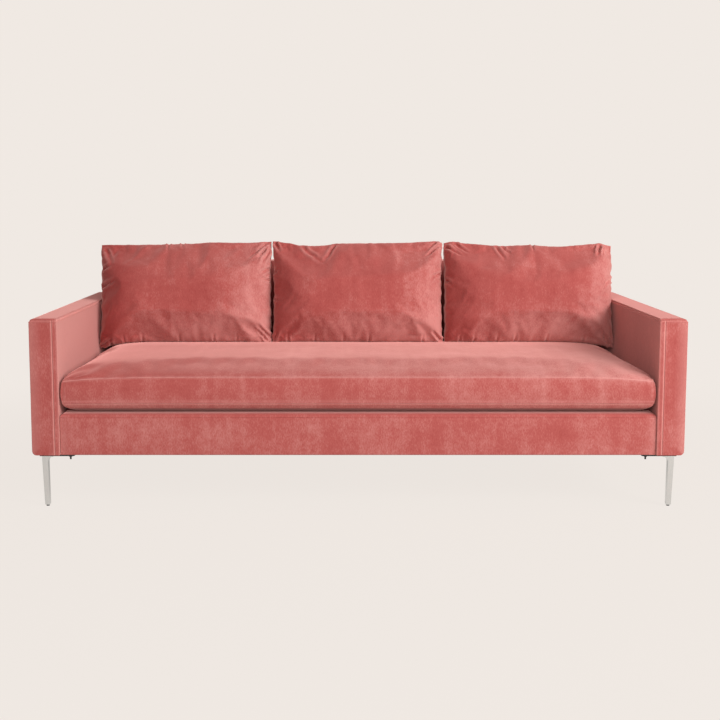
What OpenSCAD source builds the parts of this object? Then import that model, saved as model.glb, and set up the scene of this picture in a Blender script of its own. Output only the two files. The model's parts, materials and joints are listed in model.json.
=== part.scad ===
// Three-seat sofa with thin square arms, a bench seat cushion, three loose back cushions and
// slim polished legs. Millimetres, +Z up, +X to the right as seen from the front, the front
// faces -Y. The origin is on the floor, under the centre of the sofa.

/* [Overall] */
// Width over the arms
sofa_w = 2200; // [1700:10:2800]
// Depth from the arm fronts to the outside back
sofa_d = 965; // [860:5:1150]
// Height of the arm tops over the floor
arm_h = 645; // [560:5:700]
// Height of the back frame over the floor
back_h = 784; // [720:2:900]
// Height of the upholstered body's underside over the floor
body_z = 180; // [140:2:240]

/* [Arms] */
// Thickness of an arm with its upholstery
arm_t = 94; // [80:1:160]
// Radius of the arm's outer top edge
arm_top_r = 18; // [8:1:24]
// Radius of the arm's outer bottom edge
arm_low_r = 15; // [5:1:20]
// Radius of the arm's other edges
arm_edge_r = 5; // [3:0.5:6]
// Height of the bottom rail in the arm's timber frame
arm_sill_h = 80; // [60:1:100]
// Height of the top rail in the arm's timber frame
arm_cap_h = 40; // [25:1:60]
// Depth of the posts in the arm's timber frame
arm_post_d = 60; // [40:1:80]

/* [Seat box] */
// Height of the upholstered front rail
rail_h = 141; // [120:1:170]
// Set-back of the front rail behind the arm fronts
rail_back = 6; // [2:1:15]
// Radius of the front rail's upper corners at the arms
rail_end_r = 15; // [4:1:24]
// Radius of the front rail's top and bottom edges along its length
rail_edge_r = 6; // [4:0.5:6.5]
// Depth of the velvet over the top of the front rail
rail_lip = 76; // [60:1:110]
// Thickness of the front and rear timber rails
rail_t = 30; // [24:1:40]
// Thickness of the timber side rails
side_rail_t = 36; // [32:1:42]
// Length of a corner block's two faces
block_leg = 90; // [60:1:110]
// Width of a bowed stretcher
stretcher_w = 40; // [30:1:60]
// Drop of the stretcher's bow in its middle
stretcher_bow = 55; // [30:1:60]
// Distance of each stretcher from the middle
stretcher_x = 335; // [250:5:420]

/* [Springs] */
// Number of sinuous seat springs
spring_count = 10; // [6:1:12]
// Distance between the two middle springs
spring_step = 196; // [150:1:200]
// Clearance between an end spring and the side rail
spring_end_gap = 56.5; // [40:0.5:90]
// Width of a spring
spring_w = 58; // [45:1:70]
// Distance from one cross bar of a spring to the next
spring_pitch = 30; // [26:1:40]
// Wire thickness of the springs
wire_t = 3.8; // [3:0.1:4.2]
// Diameter of the tie wires
tie_d = 3; // [2:0.1:3.5]
// Length of a spring clip on its rail
clip_l = 16; // [14:0.5:18]
// Width of a spring clip
clip_w = 16; // [12:0.5:22]
// Thickness of the clip's steel
clip_t = 1; // [0.8:0.1:1.2]

/* [Back] */
// Thickness of the back at the deck and below it
back_base_t = 170; // [140:1:185]
// Thickness of the back at its top
back_top_t = 115; // [95:1:130]
// Radius of the back's top edges
back_edge_r = 6; // [4:0.5:6.5]
// Width of the back frame's end posts
back_post_w = 60; // [45:1:80]
// Width of the back frame's inner posts
back_mid_w = 45; // [30:1:60]
// Height of the back frame's top rail
back_cap_h = 60; // [40:1:80]
// Height of the back frame's cross rail over the deck
back_sill_h = 30; // [20:1:50]
// Thickness of the back frame's front board below the deck
back_board_t = 32; // [25:1:40]
// Width of a strip of back webbing
web_w = 50; // [40:1:60]
// Thickness of a strip of back webbing
web_t = 1.5; // [1:0.1:2]
// Number of upright webbing strips
web_count = 9; // [6:1:12]
// Number of level webbing strips
web_rows = 4; // [3:1:5]

/* [Upholstery] */
// Thickness of the velvet with its backing
velvet_t = 2; // [1.5:0.1:2.5]
// Thickness of the foam on an arm's sides and ends
arm_pad_t = 8; // [6:0.5:12]
// Thickness of the foam on an arm's top
arm_top_pad_t = 15; // [10:1:25]
// Thickness of the boards on an arm's timber frame
arm_board_t = 3; // [2:0.5:5]
// Width of velvet turned under the arm and the front rail
turn_under = 30; // [20:1:32]
// Thickness of the foam on the front rail
rail_pad_t = 8; // [6:0.5:12]
// Thickness of the foam on the inside back
back_pad_t = 20; // [14:1:30]
// Thickness of the foam over the back's top
back_top_pad_t = 12; // [8:1:20]
// Height of the outside back velvet's seam under the back's top
back_seam_drop = 20; // [16:1:30]
// Thickness of the outside back board
back_panel_t = 3; // [2:0.5:5]
// Thickness of the pad over the springs
deck_pad_t = 16; // [12:0.5:18]
// Thickness of the deck cloth
deck_cloth_t = 2; // [1:0.1:3]
// Thickness of the dust cover
dust_t = 1; // [0.5:0.1:2]
// Inset of the dust cover from the body's sides and ends
dust_inset = 12; // [8:1:20]

/* [Seat cushion] */
// Height of the cushion's flat underside over the deck
seat_lift = 0.4; // [0.3:0.1:1]
// Height of the lower seam over the deck, in the middle of the front
seat_low_seam = 34; // [24:1:40]
// Height of the upper seam over the deck, in the middle of the front
seat_top_seam = 126; // [100:1:150]
// Height of the crown over the deck
seat_crown = 163; // [140:1:190]
// Drop of the upper seam at the ends
seat_seam_drop = 16; // [0:1:20]
// Outward bulge of the boxing between the seams
seat_bulge = 6; // [3:0.5:8]
// Side clearance between the boxing and the arms
seat_side_gap = 0.8; // [0.5:0.1:3]
// Clearance behind the cushion at the inside back
seat_rear_gap = 4; // [1:0.5:10]
// Set-back of the boxing's fullest line behind the arm fronts
seat_front_in = 1; // [0.5:0.5:10]
// Length over which the crown rises from the ends
end_run = 300; // [150:10:400]
// Length over which the crown rises from the front
front_run = 250; // [120:10:300]
// Length over which the crown falls to the rear
rear_run = 340; // [250:5:370]
// Length over which the underside curves up to the lower seam
under_run = 60; // [30:5:80]
// Draw of the plan corners
seat_corner = 9; // [4:1:12]
// Size of the foam core's inset from the seams
core_inset = 22; // [16:1:40]
// Height of the foam core over the deck
core_low = 14; // [10:1:20]
// Thickness of the foam core
core_t = 106; // [80:1:108]

/* [Back cushions] */
// Height of a back cushion from seam to seam
cushion_h = 400; // [360:2:430]
// Fullness of a back cushion before its seams
cushion_front_t = 86; // [60:1:110]
// Fullness of a back cushion behind its seams
cushion_rear_t = 190; // [150:1:205]
// Lean of the back cushions, in degrees
cushion_lean = 9; // [6:0.5:14]
// Draw of a cushion's sides between its corners
cushion_side_draw = 4; // [0:1:14]
// Draw of a cushion's top between its corners
cushion_top_draw = 6; // [0:1:12]
// Gap between a cushion's corners and its neighbours
cushion_gap = 1.5; // [1:0.1:6]
// Clearance between a back cushion and the seat or the inside back
rest_gap = 0.5; // [0.3:0.1:1]
// Inset of the filling's hollow from the cover's seams
fill_inset = 16; // [10:1:24]
// Clearance between a filling or core and its cover
fill_gap = 0.4; // [0.3:0.1:0.8]

/* [Legs] */
// Width and depth of a leg under its flare
leg_top_w = 20; // [16:0.5:26]
// Width and depth of a leg at its foot
leg_foot_w = 16; // [12:0.5:20]
// Inward lean of the leg's outer face from top to foot
leg_lean = 5; // [0:0.5:8]
// Radius of the flare at the top of the leg
leg_flare_r = 17; // [10:0.5:22]
// Thickness of the flare's rim
leg_rim_t = 3; // [2:0.5:4]
// Radius of the foot's corners
leg_foot_r = 5; // [2:0.5:6]
// Side of the square mounting plate
plate_w = 118; // [90:1:120]
// Thickness of the mounting plate
plate_t = 4; // [3:0.5:6]
// Inset of the plate from the sofa's side
plate_in_x = 21; // [14:1:26]
// Inset of the plate from the sofa's front or rear
plate_in_y = 12; // [12:1:13]
// Inset of the leg from the plate's side edge
leg_in_x = 8; // [1:0.5:12]
// Inset of the leg from the plate's front or rear edge
leg_in_y = 2; // [1:0.5:8]
// Inset of the studs from the plate's edges
stud_in = 16; // [10:0.5:17]
// Diameter of the studs
stud_d = 6; // [5:0.5:8]
// Length of the studs under the plate
stud_under = 14; // [8:0.5:20]
// Length of the studs in the timber
stud_grip = 45; // [30:1:60]
// Thickness of the stud nuts
nut_t = 5; // [4:0.5:6]
// Distance across a stud nut's flats
nut_af = 10; // [9:0.5:13]
// Diameter of a glide
glide_d = 11; // [8:0.5:12]
// Height of a glide under the foot
glide_h = 3; // [2:0.5:4]

/* [Frame bolts] */
// Diameter of the bolts that hold the arms and the back
bolt_d = 8; // [6:1:10]
// Distance across the bolt heads' flats
bolt_af = 13; // [12:0.5:17]
// Thickness of the bolt heads
bolt_head_t = 5.3; // [4:0.1:7]
// Height of the arm bolts over the body's underside
bolt_up = 45; // [30:1:52]
// Distance of the arm bolts from the corner blocks
bolt_y = 22; // [10:1:80]
// Length of a bolt's grip beyond the joint
bolt_grip = 50; // [30:1:60]
// Distance of the back bolts from the middle
back_bolt_x = 560; // [420:5:700]

/* [Hidden] */

// Running values
cut = 5;              // overrun of a cutting shape
joint_gap = 0.5;      // gap where two upholstered units meet
hole_gap = 0.2;       // radial clearance round a bolt or stud
wire_gap = 0.3;       // clearance of a spring's end bar in its clip
clip_roof_gap = 0.6;  // clearance between a clip and the pad over it
stretcher_drop = 16;  // top of a stretcher's end under the rails' top
stretcher_foot = 6;   // underside of a stretcher over the rails' underside
block_drop = 6;       // top of a corner block under the rails' top
tie_gap = 0.1;        // gap between the tie wires and the springs
weave_gap = 0.1;      // gap between the two layers of webbing, and under them
ease_gap = 0.3;       // clearance of an arm's timber and boards from the velvet's curved edge
round_fn = 48;        // smoothness of round parts
settle_n = 40;        // steps in which a cushion's place is looked for

// Proportions
bolt_rail_share = 0.8;      // part of the rear rail that a back bolt goes into
clip_over_share = 0.125;    // part of a spring clip past its rail's inner face
web_edge_share = 0.25;      // part of a rail or post left free beyond the webbing's end
plate_corner_share = 0.25;  // radius of a plate's corners against its studs' inset
stem_share = 0.25;          // thickness of a glide's peg against the foot's width
low_droop_share = 0.2;      // droop of the seat's lower seam against its upper seam
belly_share = 0.08;         // how much fuller a back cushion is low down than high up
edge_share = 0.999;         // station from which a point counts as on the rim

// Powers that shape the soft pieces
seam_power = 8;             // how late the seat's seams droop towards the ends
end_powers = [4, 0.5];      // the seat's crown from an end
front_powers = [3, 0.6];    // the seat's crown from the front
rear_powers = [2, 0.7];     // the seat's crown from the rear
under_powers = [2.2, 0.8];  // the seat's underside from its rim
corner_powers = [30, 14];   // how close to a corner the seat's plan is drawn in
puff_power = 0.7;           // roundness of the seat's boxing
side_powers = [6, 0.5];     // a back cushion's fullness from its sides
rise_powers = [2.6, 0.55];  // a back cushion's fullness from its top and bottom
draw_power = 3;             // how close to its edges a back cushion is drawn in

// Places worked out from the sizes
half_w = sofa_w / 2;
half_d = sofa_d / 2;
arm_in = half_w - arm_t;
box_x = arm_in - joint_gap;
deck_z = body_z + rail_h;
rail_y = -half_d + rail_back;
timber_z = body_z + velvet_t;
timber_x = box_x - velvet_t;
front_rail_y = rail_y + velvet_t + rail_pad_t;
side_rail_y = front_rail_y + rail_t;
back_face_y = half_d - back_base_t;
box_end_y = back_face_y - joint_gap;
rear_rail_y = box_end_y - rail_t;
side_rail_x = timber_x - side_rail_t;
lip_y = rail_y + rail_lip;
arm_bolt_ys = [side_rail_y + block_leg + bolt_y, rear_rail_y - block_leg - bolt_y];
deck_pad_z = deck_z - deck_cloth_t - deck_pad_t;
clip_h = 2 * (clip_t + wire_gap) + wire_t;
spring_z = deck_pad_z - clip_roof_gap - clip_h;
web_gap = 2 * (web_t + weave_gap);
arm_timber_t = arm_t - 2 * (velvet_t + arm_pad_t + arm_board_t);
arm_timber_x = arm_in + velvet_t + arm_pad_t + arm_board_t;
arm_timber_y = half_d - velvet_t - arm_pad_t;
arm_timber_top = arm_h - velvet_t - arm_top_pad_t;
back_slope = (back_base_t - back_top_t) / (back_h - deck_z);
back_cos = 1 / sqrt(1 + back_slope * back_slope);
back_timber_top = back_h - velvet_t - back_top_pad_t;
back_timber_y = half_d - velvet_t - back_panel_t;
plate_z = body_z - dust_t - plate_t;
plate_x = half_w - plate_in_x;
plate_y = half_d - plate_in_y;
leg_x = plate_x - leg_in_x;
leg_y = plate_y - leg_in_y;

// Height of the inside back's face at a height z, measured towards the rear
function face_y(z) = back_face_y + max(0, z - deck_z) * back_slope;

// Stations from -1 to 1, closer together at the ends
function stations(n) = [for (i = [0:n]) -cos(180 * i / n)];

// Rise from 0 at an edge to 1 where run ends
function rise(d, run, powers) =
    d >= run ? 1 : pow(1 - pow(1 - max(0, d) / run, powers[0]), powers[1]);

// Smooth lesser of two shares
function lesser(a, b) = a <= 0 || b <= 0 ? 0 : pow(pow(a, -4) + pow(b, -4) - 1, -0.25);

// A prism along X of an outline drawn in Y and Z
module along_x(x0, length) {
    translate([x0, 0, 0]) rotate([90, 0, 90]) linear_extrude(length) children();
}

// A prism along Y of an outline drawn in X and Z
module along_y(y0, length) {
    translate([0, y0 + length, 0]) rotate([90, 0, 0]) linear_extrude(length) children();
}

// What lies outside a round corner at the origin that opens to +X and +Y
module corner_waste(r) {
    difference() {
        translate([-cut, -cut]) square(r + cut);
        translate([r, r]) circle(r, $fn = round_fn);
    }
}

// A rectangle with radii at its lower left, lower right, upper right and upper left
module round_plate(w, h, radii) {
    difference() {
        square([w, h]);
        if (radii[0] > 0) corner_waste(radii[0]);
        if (radii[1] > 0) translate([w, 0]) mirror([1, 0]) corner_waste(radii[1]);
        if (radii[2] > 0) translate([w, h]) rotate(180) corner_waste(radii[2]);
        if (radii[3] > 0) translate([0, h]) mirror([0, 1]) corner_waste(radii[3]);
    }
}

// A box given by its two corners
module block(low, high) {
    translate(low) cube(high - low);
}

// The same thing at both sides of the sofa
module both_sides() {
    children();
    mirror([1, 0, 0]) children();
}

// The same thing at all four corners of the sofa
module four_corners() {
    both_sides() {
        children();
        mirror([0, 1, 0]) children();
    }
}

// Seat box

// Holes for the studs that hold the leg plates
module stud_holes(z0, z1) {
    four_corners() stud_places() translate([0, 0, z0])
        cylinder(h = z1 - z0, d = stud_d + 2 * hole_gap, $fn = round_fn);
}

// The three studs of one plate, clear of the leg's own corner
module stud_places() {
    inner = plate_w - stud_in;
    for (p = [[inner, stud_in], [inner, inner], [stud_in, inner]])
        translate([plate_x - p[0], plate_y - p[1], 0]) children();
}

// One bolt along X into the arm, drawn at its place on the right side
module arm_bolt(gap) {
    for (y = arm_bolt_ys)
        translate([side_rail_x, y, body_z + bolt_up]) rotate([0, 90, 0])
            cylinder(h = box_x - side_rail_x + bolt_grip, d = bolt_d + 2 * gap, $fn = round_fn);
}

// The bolts along Y that hold the back to the rear rail
module back_bolt(gap) {
    for (side = [-1, 1])
        translate([side * back_bolt_x, back_face_y + back_board_t, body_z + bolt_up]) rotate([90, 0, 0])
            cylinder(h = back_board_t + joint_gap + rail_t * bolt_rail_share,
                     d = bolt_d + 2 * gap, $fn = round_fn);
}

module front_rail() {
    color("burlywood") difference() {
        block([-timber_x, front_rail_y, timber_z], [timber_x, side_rail_y, spring_z]);
        stud_holes(body_z, timber_z + stud_grip);
    }
}

module rear_rail() {
    color("burlywood") difference() {
        block([-timber_x, rear_rail_y, timber_z], [timber_x, box_end_y, spring_z]);
        back_bolt(hole_gap);
    }
}

module side_rails() {
    color("burlywood") both_sides() difference() {
        block([side_rail_x, side_rail_y, timber_z], [timber_x, rear_rail_y, spring_z]);
        stud_holes(body_z, timber_z + stud_grip);
        arm_bolt(hole_gap);
    }
}

module stretchers() {
    chord = rear_rail_y - side_rail_y;
    bow_r = (chord * chord / 4 + stretcher_bow * stretcher_bow) / (2 * stretcher_bow);
    low = timber_z + stretcher_foot;
    top = spring_z - stretcher_drop;
    color("burlywood") for (side = [-1, 1])
        along_x(side * stretcher_x - stretcher_w / 2, stretcher_w) difference() {
            translate([side_rail_y, low]) square([chord, top - low]);
            translate([side_rail_y + chord / 2, top - stretcher_bow + bow_r])
                circle(bow_r, $fn = 4 * round_fn);
        }
}

module corner_blocks() {
    color("burlywood") both_sides() {
        for (end = [[side_rail_y, 1], [rear_rail_y, -1]])
            translate([0, 0, timber_z]) linear_extrude(spring_z - block_drop - timber_z) polygon([
                [side_rail_x, end[0]], [side_rail_x, end[0] + end[1] * block_leg],
                [side_rail_x - block_leg, end[0]]
            ]);
    }
}

// Suspension

clip_front_y = side_rail_y - clip_l * (1 - clip_over_share);
clip_rear_y = rear_rail_y + clip_l * (1 - clip_over_share);
bar_front_y = clip_front_y + clip_t + wire_gap + wire_t / 2;
bar_rear_y = clip_rear_y - clip_t - wire_gap - wire_t / 2;
spring_bays = round((bar_rear_y - bar_front_y) / spring_pitch);
bar_step = (bar_rear_y - bar_front_y) / spring_bays;
wire_z = spring_z + clip_t + wire_gap;

// One spring's plan: cross bars joined by half rings at alternate ends
module spring_plan() {
    reach = spring_w / 2 - bar_step / 2;
    for (i = [0:spring_bays])
        translate([-reach, bar_front_y + i * bar_step - wire_t / 2]) square([2 * reach, wire_t]);
    for (i = [0:spring_bays - 1]) {
        side = i % 2 == 0 ? 1 : -1;
        translate([side * reach, bar_front_y + (i + 0.5) * bar_step]) difference() {
            circle((bar_step + wire_t) / 2, $fn = round_fn);
            circle((bar_step - wire_t) / 2, $fn = round_fn);
            translate([side > 0 ? -bar_step : 0, -bar_step]) square([bar_step, 2 * bar_step]);
        }
    }
}

// The springs' places across the seat, evenly from the middle ones out to the side rails
module across_springs() {
    pairs = floor(spring_count / 2);
    odd = spring_count % 2;
    first = spring_step * (1 + odd) / 2;
    last = side_rail_x - spring_end_gap - spring_w / 2;
    if (odd == 1) children();
    for (k = [0:pairs - 1]) for (side = [-1, 1])
        translate([side * (first + (last - first) * k / (pairs - 1)), 0, 0]) children();
}

module seat_springs() {
    color("dimgray") across_springs() translate([0, 0, wire_z]) linear_extrude(wire_t) spring_plan();
}

// A clip's outline in Y and Z, its mouth towards +Y
module clip_outline() {
    difference() {
        square([clip_l, clip_h]);
        translate([clip_t, clip_t]) square([clip_l, clip_h - 2 * clip_t]);
    }
}

module spring_clips() {
    color("silver") across_springs() {
        along_x(-clip_w / 2, clip_w) translate([clip_front_y, spring_z]) clip_outline();
        along_x(-clip_w / 2, clip_w) translate([clip_rear_y, spring_z]) mirror([1, 0]) clip_outline();
    }
}

module tie_wires() {
    span = bar_rear_y - bar_front_y;
    color("silver") for (share = [1 / 3, 2 / 3])
        translate([-side_rail_x, bar_front_y + share * span, wire_z - tie_gap - tie_d / 2]) rotate([0, 90, 0])
            cylinder(h = 2 * side_rail_x, d = tie_d, $fn = round_fn);
}

module deck_pad() {
    color("gainsboro") block([-timber_x, lip_y, deck_pad_z], [timber_x, box_end_y, deck_pad_z + deck_pad_t]);
}

module deck_cloth() {
    color("rosybrown") block([-box_x, lip_y, deck_z - deck_cloth_t], [box_x, box_end_y, deck_z]);
}

// Front rail upholstery: a wrapped bar, drawn in by an inset on its ends, front, top and bottom
module rail_bar(inset, z0, end) {
    r = rail_edge_r - inset;
    intersection() {
        along_x(-box_x + inset, 2 * (box_x - inset)) translate([rail_y + inset, z0])
            round_plate(end - rail_y - inset, deck_z - inset - z0, [r, 0, 0, r]);
        along_y(rail_y - cut, rail_lip + 2 * cut) translate([-box_x + inset, z0])
            round_plate(2 * (box_x - inset), deck_z - inset - z0,
                        [0, 0, rail_end_r - inset, rail_end_r - inset]);
    }
}

module front_rail_pad() {
    color("gainsboro") difference() {
        rail_bar(velvet_t, timber_z, lip_y);
        block([-box_x, front_rail_y, body_z], [box_x, lip_y + cut, spring_z]);
        block([-box_x, clip_front_y - wire_gap, body_z], [box_x, lip_y + cut, deck_pad_z]);
    }
}

module front_rail_cover() {
    color("indianred") difference() {
        rail_bar(0, body_z, lip_y);
        rail_bar(velvet_t, timber_z, lip_y + cut);
        block([-box_x + turn_under, rail_y + turn_under + rail_pad_t, body_z - cut],
              [box_x - turn_under, lip_y + cut, deck_z - 2 * velvet_t]);
        stud_holes(body_z - cut, timber_z + cut);
    }
}

// Arms, drawn at the right side

module arm_core(inset, z0, y_inset) {
    t = arm_t - 2 * inset;
    h = arm_h - inset - z0;
    along_y(-half_d + y_inset, sofa_d - 2 * y_inset) translate([arm_in + inset, z0])
        round_plate(t, h, [arm_edge_r - inset, arm_low_r - inset, arm_top_r - inset, arm_edge_r - inset]);
}

module arm_skin() {
    h = arm_h - body_z;
    intersection() {
        arm_core(0, body_z, 0);
        along_x(arm_in - cut, arm_t + 2 * cut) translate([-half_d, body_z])
            round_plate(sofa_d, h, [for (i = [0:3]) arm_edge_r]);
        translate([arm_in, -half_d, body_z - cut]) linear_extrude(h + 2 * cut)
            round_plate(arm_t, sofa_d, [for (i = [0:3]) arm_edge_r]);
    }
}

module arm_frame() {
    window_z = timber_z + arm_sill_h;
    window_h = arm_timber_top - arm_cap_h - window_z;
    window_l = arm_timber_y - 1.5 * arm_post_d;
    color("burlywood") difference() {
        intersection() {
            along_x(arm_timber_x, arm_timber_t) difference() {
                translate([-arm_timber_y, timber_z]) square([2 * arm_timber_y, arm_timber_top - timber_z]);
                for (y = [-arm_timber_y + arm_post_d, arm_post_d / 2])
                    translate([y, window_z]) square([window_l, window_h]);
            }
            arm_core(velvet_t + ease_gap, timber_z, velvet_t);
        }
        arm_bolt(hole_gap);
        stud_holes(body_z, timber_z + stud_grip);
    }
}

module arm_boards() {
    color("peru") difference() {
        intersection() {
            for (x = [arm_timber_x - arm_board_t, arm_timber_x + arm_timber_t])
                block([x, -arm_timber_y, timber_z], [x + arm_board_t, arm_timber_y, arm_timber_top]);
            arm_core(velvet_t + ease_gap, timber_z, velvet_t);
        }
        arm_bolt(hole_gap);
    }
}

module arm_pad() {
    color("gainsboro") difference() {
        arm_core(velvet_t, timber_z, velvet_t);
        block([arm_timber_x - arm_board_t, -arm_timber_y, body_z],
              [arm_timber_x + arm_timber_t + arm_board_t, arm_timber_y, arm_timber_top]);
        arm_bolt(hole_gap);
    }
}

module arm_cover() {
    color("indianred") difference() {
        arm_skin();
        arm_core(velvet_t, timber_z, velvet_t);
        block([arm_in + turn_under, -half_d + turn_under, body_z - cut],
              [half_w - turn_under, half_d - turn_under, timber_z + cut]);
        stud_holes(body_z - cut, timber_z + cut);
        arm_bolt(hole_gap);
    }
}

// A hexagon head or nut, its axis along Z
module hexagon(af, h) {
    cylinder(h = h, d = af / cos(30), $fn = 6);
}

module arm_bolts() {
    color("silver") both_sides() union() {
        arm_bolt(0);
        for (y = arm_bolt_ys)
            translate([side_rail_x - bolt_head_t, y, body_z + bolt_up]) rotate([0, 90, 0])
                hexagon(bolt_af, bolt_head_t);
    }
}

// Back

// The inside back's outline in Y and Z, drawn in by a front inset, a rear inset and a top inset
module raked(front, rear, top, z0, r) {
    z1 = back_h - top;
    y1 = half_d - rear;
    f = front / back_cos;
    c = [face_y(z1 - r) + f + r / back_cos, z1 - r];
    s = back_slope * back_cos;
    union() {
        polygon(concat(
            [[y1, z0], [y1, z1 - r], [y1 - r, z1], [c[0], z1]],
            r > 0 ? [[c[0] - r * back_cos, c[1] + r * s]] : [],
            [[face_y(max(z0, deck_z)) + f, max(z0, deck_z)], [face_y(z0) + f, z0]]));
        if (r > 0) translate(c) circle(r, $fn = round_fn);
        if (r > 0) translate([y1 - r, z1 - r]) circle(r, $fn = round_fn);
    }
}

module back_frame() {
    layers = velvet_t + back_pad_t + web_gap;
    window_z = deck_z + back_sill_h;
    window_h = back_timber_top - back_cap_h - window_z;
    window_w = stretcher_x - back_mid_w / 2;
    end_w = timber_x - back_post_w - stretcher_x - back_mid_w / 2;
    spans = [
        [-timber_x + back_post_w, end_w], [-window_w, 2 * window_w],
        [stretcher_x + back_mid_w / 2, end_w]
    ];
    color("burlywood") difference() {
        union() {
            along_x(-timber_x, 2 * timber_x)
                raked(layers, velvet_t + back_panel_t, velvet_t + back_top_pad_t, deck_pad_z, 0);
            block([-timber_x, back_face_y, timber_z], [timber_x, back_timber_y, deck_pad_z]);
        }
        for (s = spans) {
            block([s[0], back_face_y - cut, window_z], [s[0] + s[1], half_d, window_z + window_h]);
            block([s[0], back_face_y + back_board_t, timber_z - cut],
                  [s[0] + s[1], half_d, deck_pad_z - back_sill_h]);
        }
        back_bolt(hole_gap);
        stud_holes(body_z, timber_z + stud_grip);
    }
}

// One layer of webbing on the raked face of the back frame, from a height to a height
module web_layer(level, z0, z1) {
    f = (velvet_t + back_pad_t + web_gap - level * web_t - (level + 1) * weave_gap) / back_cos;
    b = web_t / back_cos;
    polygon([
        [face_y(z0) + f - b, z0], [face_y(z0) + f, z0], [face_y(z1) + f, z1], [face_y(z1) + f - b, z1]
    ]);
}

module back_webbing() {
    z0 = deck_z + back_sill_h * web_edge_share;
    z1 = back_timber_top - back_cap_h * web_edge_share;
    row_step = (z1 - z0 - web_w) / (web_rows - 1);
    span = 2 * (timber_x - back_post_w * web_edge_share);
    color("dimgray") {
        for (i = [0:web_rows - 1])
            along_x(-span / 2, span) web_layer(0, z0 + i * row_step, z0 + i * row_step + web_w);
        for (i = [0:web_count - 1])
            along_x(-span / 2 + i * (span - web_w) / (web_count - 1), web_w) web_layer(1, z0, z1);
    }
}

module back_pad() {
    color("gainsboro") difference() {
        along_x(-timber_x, 2 * timber_x)
            raked(velvet_t, velvet_t, velvet_t, deck_pad_z, back_edge_r - velvet_t);
        along_x(-timber_x - cut, 2 * (timber_x + cut)) difference() {
            raked(velvet_t + back_pad_t, 0, velvet_t + back_top_pad_t, body_z, 0);
            square([half_d, body_z]);
        }
    }
}

module back_cover() {
    color("indianred") difference() {
        along_x(-box_x, 2 * box_x) raked(0, 0, 0, deck_pad_z, back_edge_r);
        along_x(-timber_x, 2 * timber_x) raked(velvet_t, velvet_t, velvet_t, body_z, back_edge_r - velvet_t);
        block([-box_x - cut, half_d - velvet_t, body_z],
              [box_x + cut, half_d + cut, back_h - back_seam_drop]);
    }
}

module outside_back_board() {
    color("peru") block([-timber_x, back_timber_y, timber_z], [timber_x, half_d - velvet_t, back_timber_top]);
}

module outside_back_panel() {
    color("indianred") block([-box_x, half_d - velvet_t, body_z], [box_x, half_d, back_h - back_seam_drop]);
}

module back_bolts() {
    color("silver") union() {
        back_bolt(0);
        for (side = [-1, 1])
            translate([side * back_bolt_x, back_face_y + back_board_t, body_z + bolt_up]) rotate([-90, 0, 0])
                hexagon(bolt_af, bolt_head_t);
    }
}

module dust_cover() {
    x = half_w - dust_inset;
    y = half_d - dust_inset;
    color("black") difference() {
        block([-x, -y, body_z - dust_t], [x, y, body_z]);
        stud_holes(body_z - dust_t - cut, body_z + cut);
    }
}

// Legs

module leg_plates() {
    color("black") difference() {
        four_corners() translate([plate_x - plate_w, plate_y - plate_w, plate_z])
            linear_extrude(plate_t)
                round_plate(plate_w, plate_w, [for (i = [0:3]) stud_in * plate_corner_share]);
        stud_holes(plate_z - cut, plate_z + plate_t + cut);
    }
}

module leg_studs() {
    color("dimgray") four_corners() stud_places() translate([0, 0, plate_z - stud_under])
        cylinder(h = timber_z + stud_grip - plate_z + stud_under, d = stud_d, $fn = round_fn);
}

module leg_nuts() {
    color("dimgray") four_corners() stud_places() translate([0, 0, plate_z - nut_t]) difference() {
        hexagon(nut_af, nut_t);
        translate([0, 0, -cut]) cylinder(h = nut_t + 2 * cut, d = stud_d + hole_gap, $fn = round_fn);
    }
}

// A leg's outline seen square on: h is measured down from the plate, w inward from the outer face
module leg_outline() {
    tall = plate_z - glide_h;
    foot_in = leg_lean + leg_foot_w;
    neck = leg_rim_t + leg_flare_r;
    difference() {
        union() {
            polygon([
                [0, 0], [0, -leg_rim_t], [leg_lean, -tall + leg_foot_r], [leg_lean + leg_foot_r, -tall],
                [foot_in - leg_foot_r, -tall], [foot_in, -tall + leg_foot_r], [leg_top_w, -neck],
                [leg_top_w + leg_flare_r, -neck], [leg_top_w + leg_flare_r, 0]
            ]);
            for (x = [leg_lean + leg_foot_r, foot_in - leg_foot_r])
                translate([x, -tall + leg_foot_r]) circle(leg_foot_r, $fn = round_fn);
        }
        translate([leg_top_w + leg_flare_r, -neck]) circle(leg_flare_r, $fn = round_fn);
    }
}

// One leg at the right rear corner: the same outline seen from the front and from the side
module leg() {
    reach = leg_top_w + leg_flare_r;
    difference() {
        intersection() {
            translate([leg_x, leg_y + cut, plate_z]) rotate([90, 0, 0]) linear_extrude(reach + 2 * cut)
                mirror([1, 0]) leg_outline();
            translate([leg_x - reach - cut, leg_y, plate_z]) rotate([90, 0, 90])
                linear_extrude(reach + 2 * cut) mirror([1, 0]) leg_outline();
        }
        glide_stem(hole_gap);
    }
}

// The peg of a glide in the foot
module glide_stem(gap) {
    at = leg_lean + leg_foot_w / 2;
    translate([leg_x - at, leg_y - at, glide_h])
        cylinder(h = leg_foot_w, d = leg_foot_w * stem_share + 2 * gap, $fn = round_fn);
}

module leg_front_left() { color("gainsboro") rotate([0, 0, 180]) leg(); }
module leg_front_right() { color("gainsboro") mirror([0, 1, 0]) leg(); }
module leg_rear_left() { color("gainsboro") mirror([1, 0, 0]) leg(); }
module leg_rear_right() { color("gainsboro") leg(); }

module glides() {
    at = leg_lean + leg_foot_w / 2;
    color("dimgray") four_corners() union() {
        translate([leg_x - at, leg_y - at, 0]) cylinder(h = glide_h, d = glide_d, $fn = round_fn);
        translate([0, 0, -glide_h / 2]) glide_stem(0);
    }
}

// Seat cushion

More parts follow.
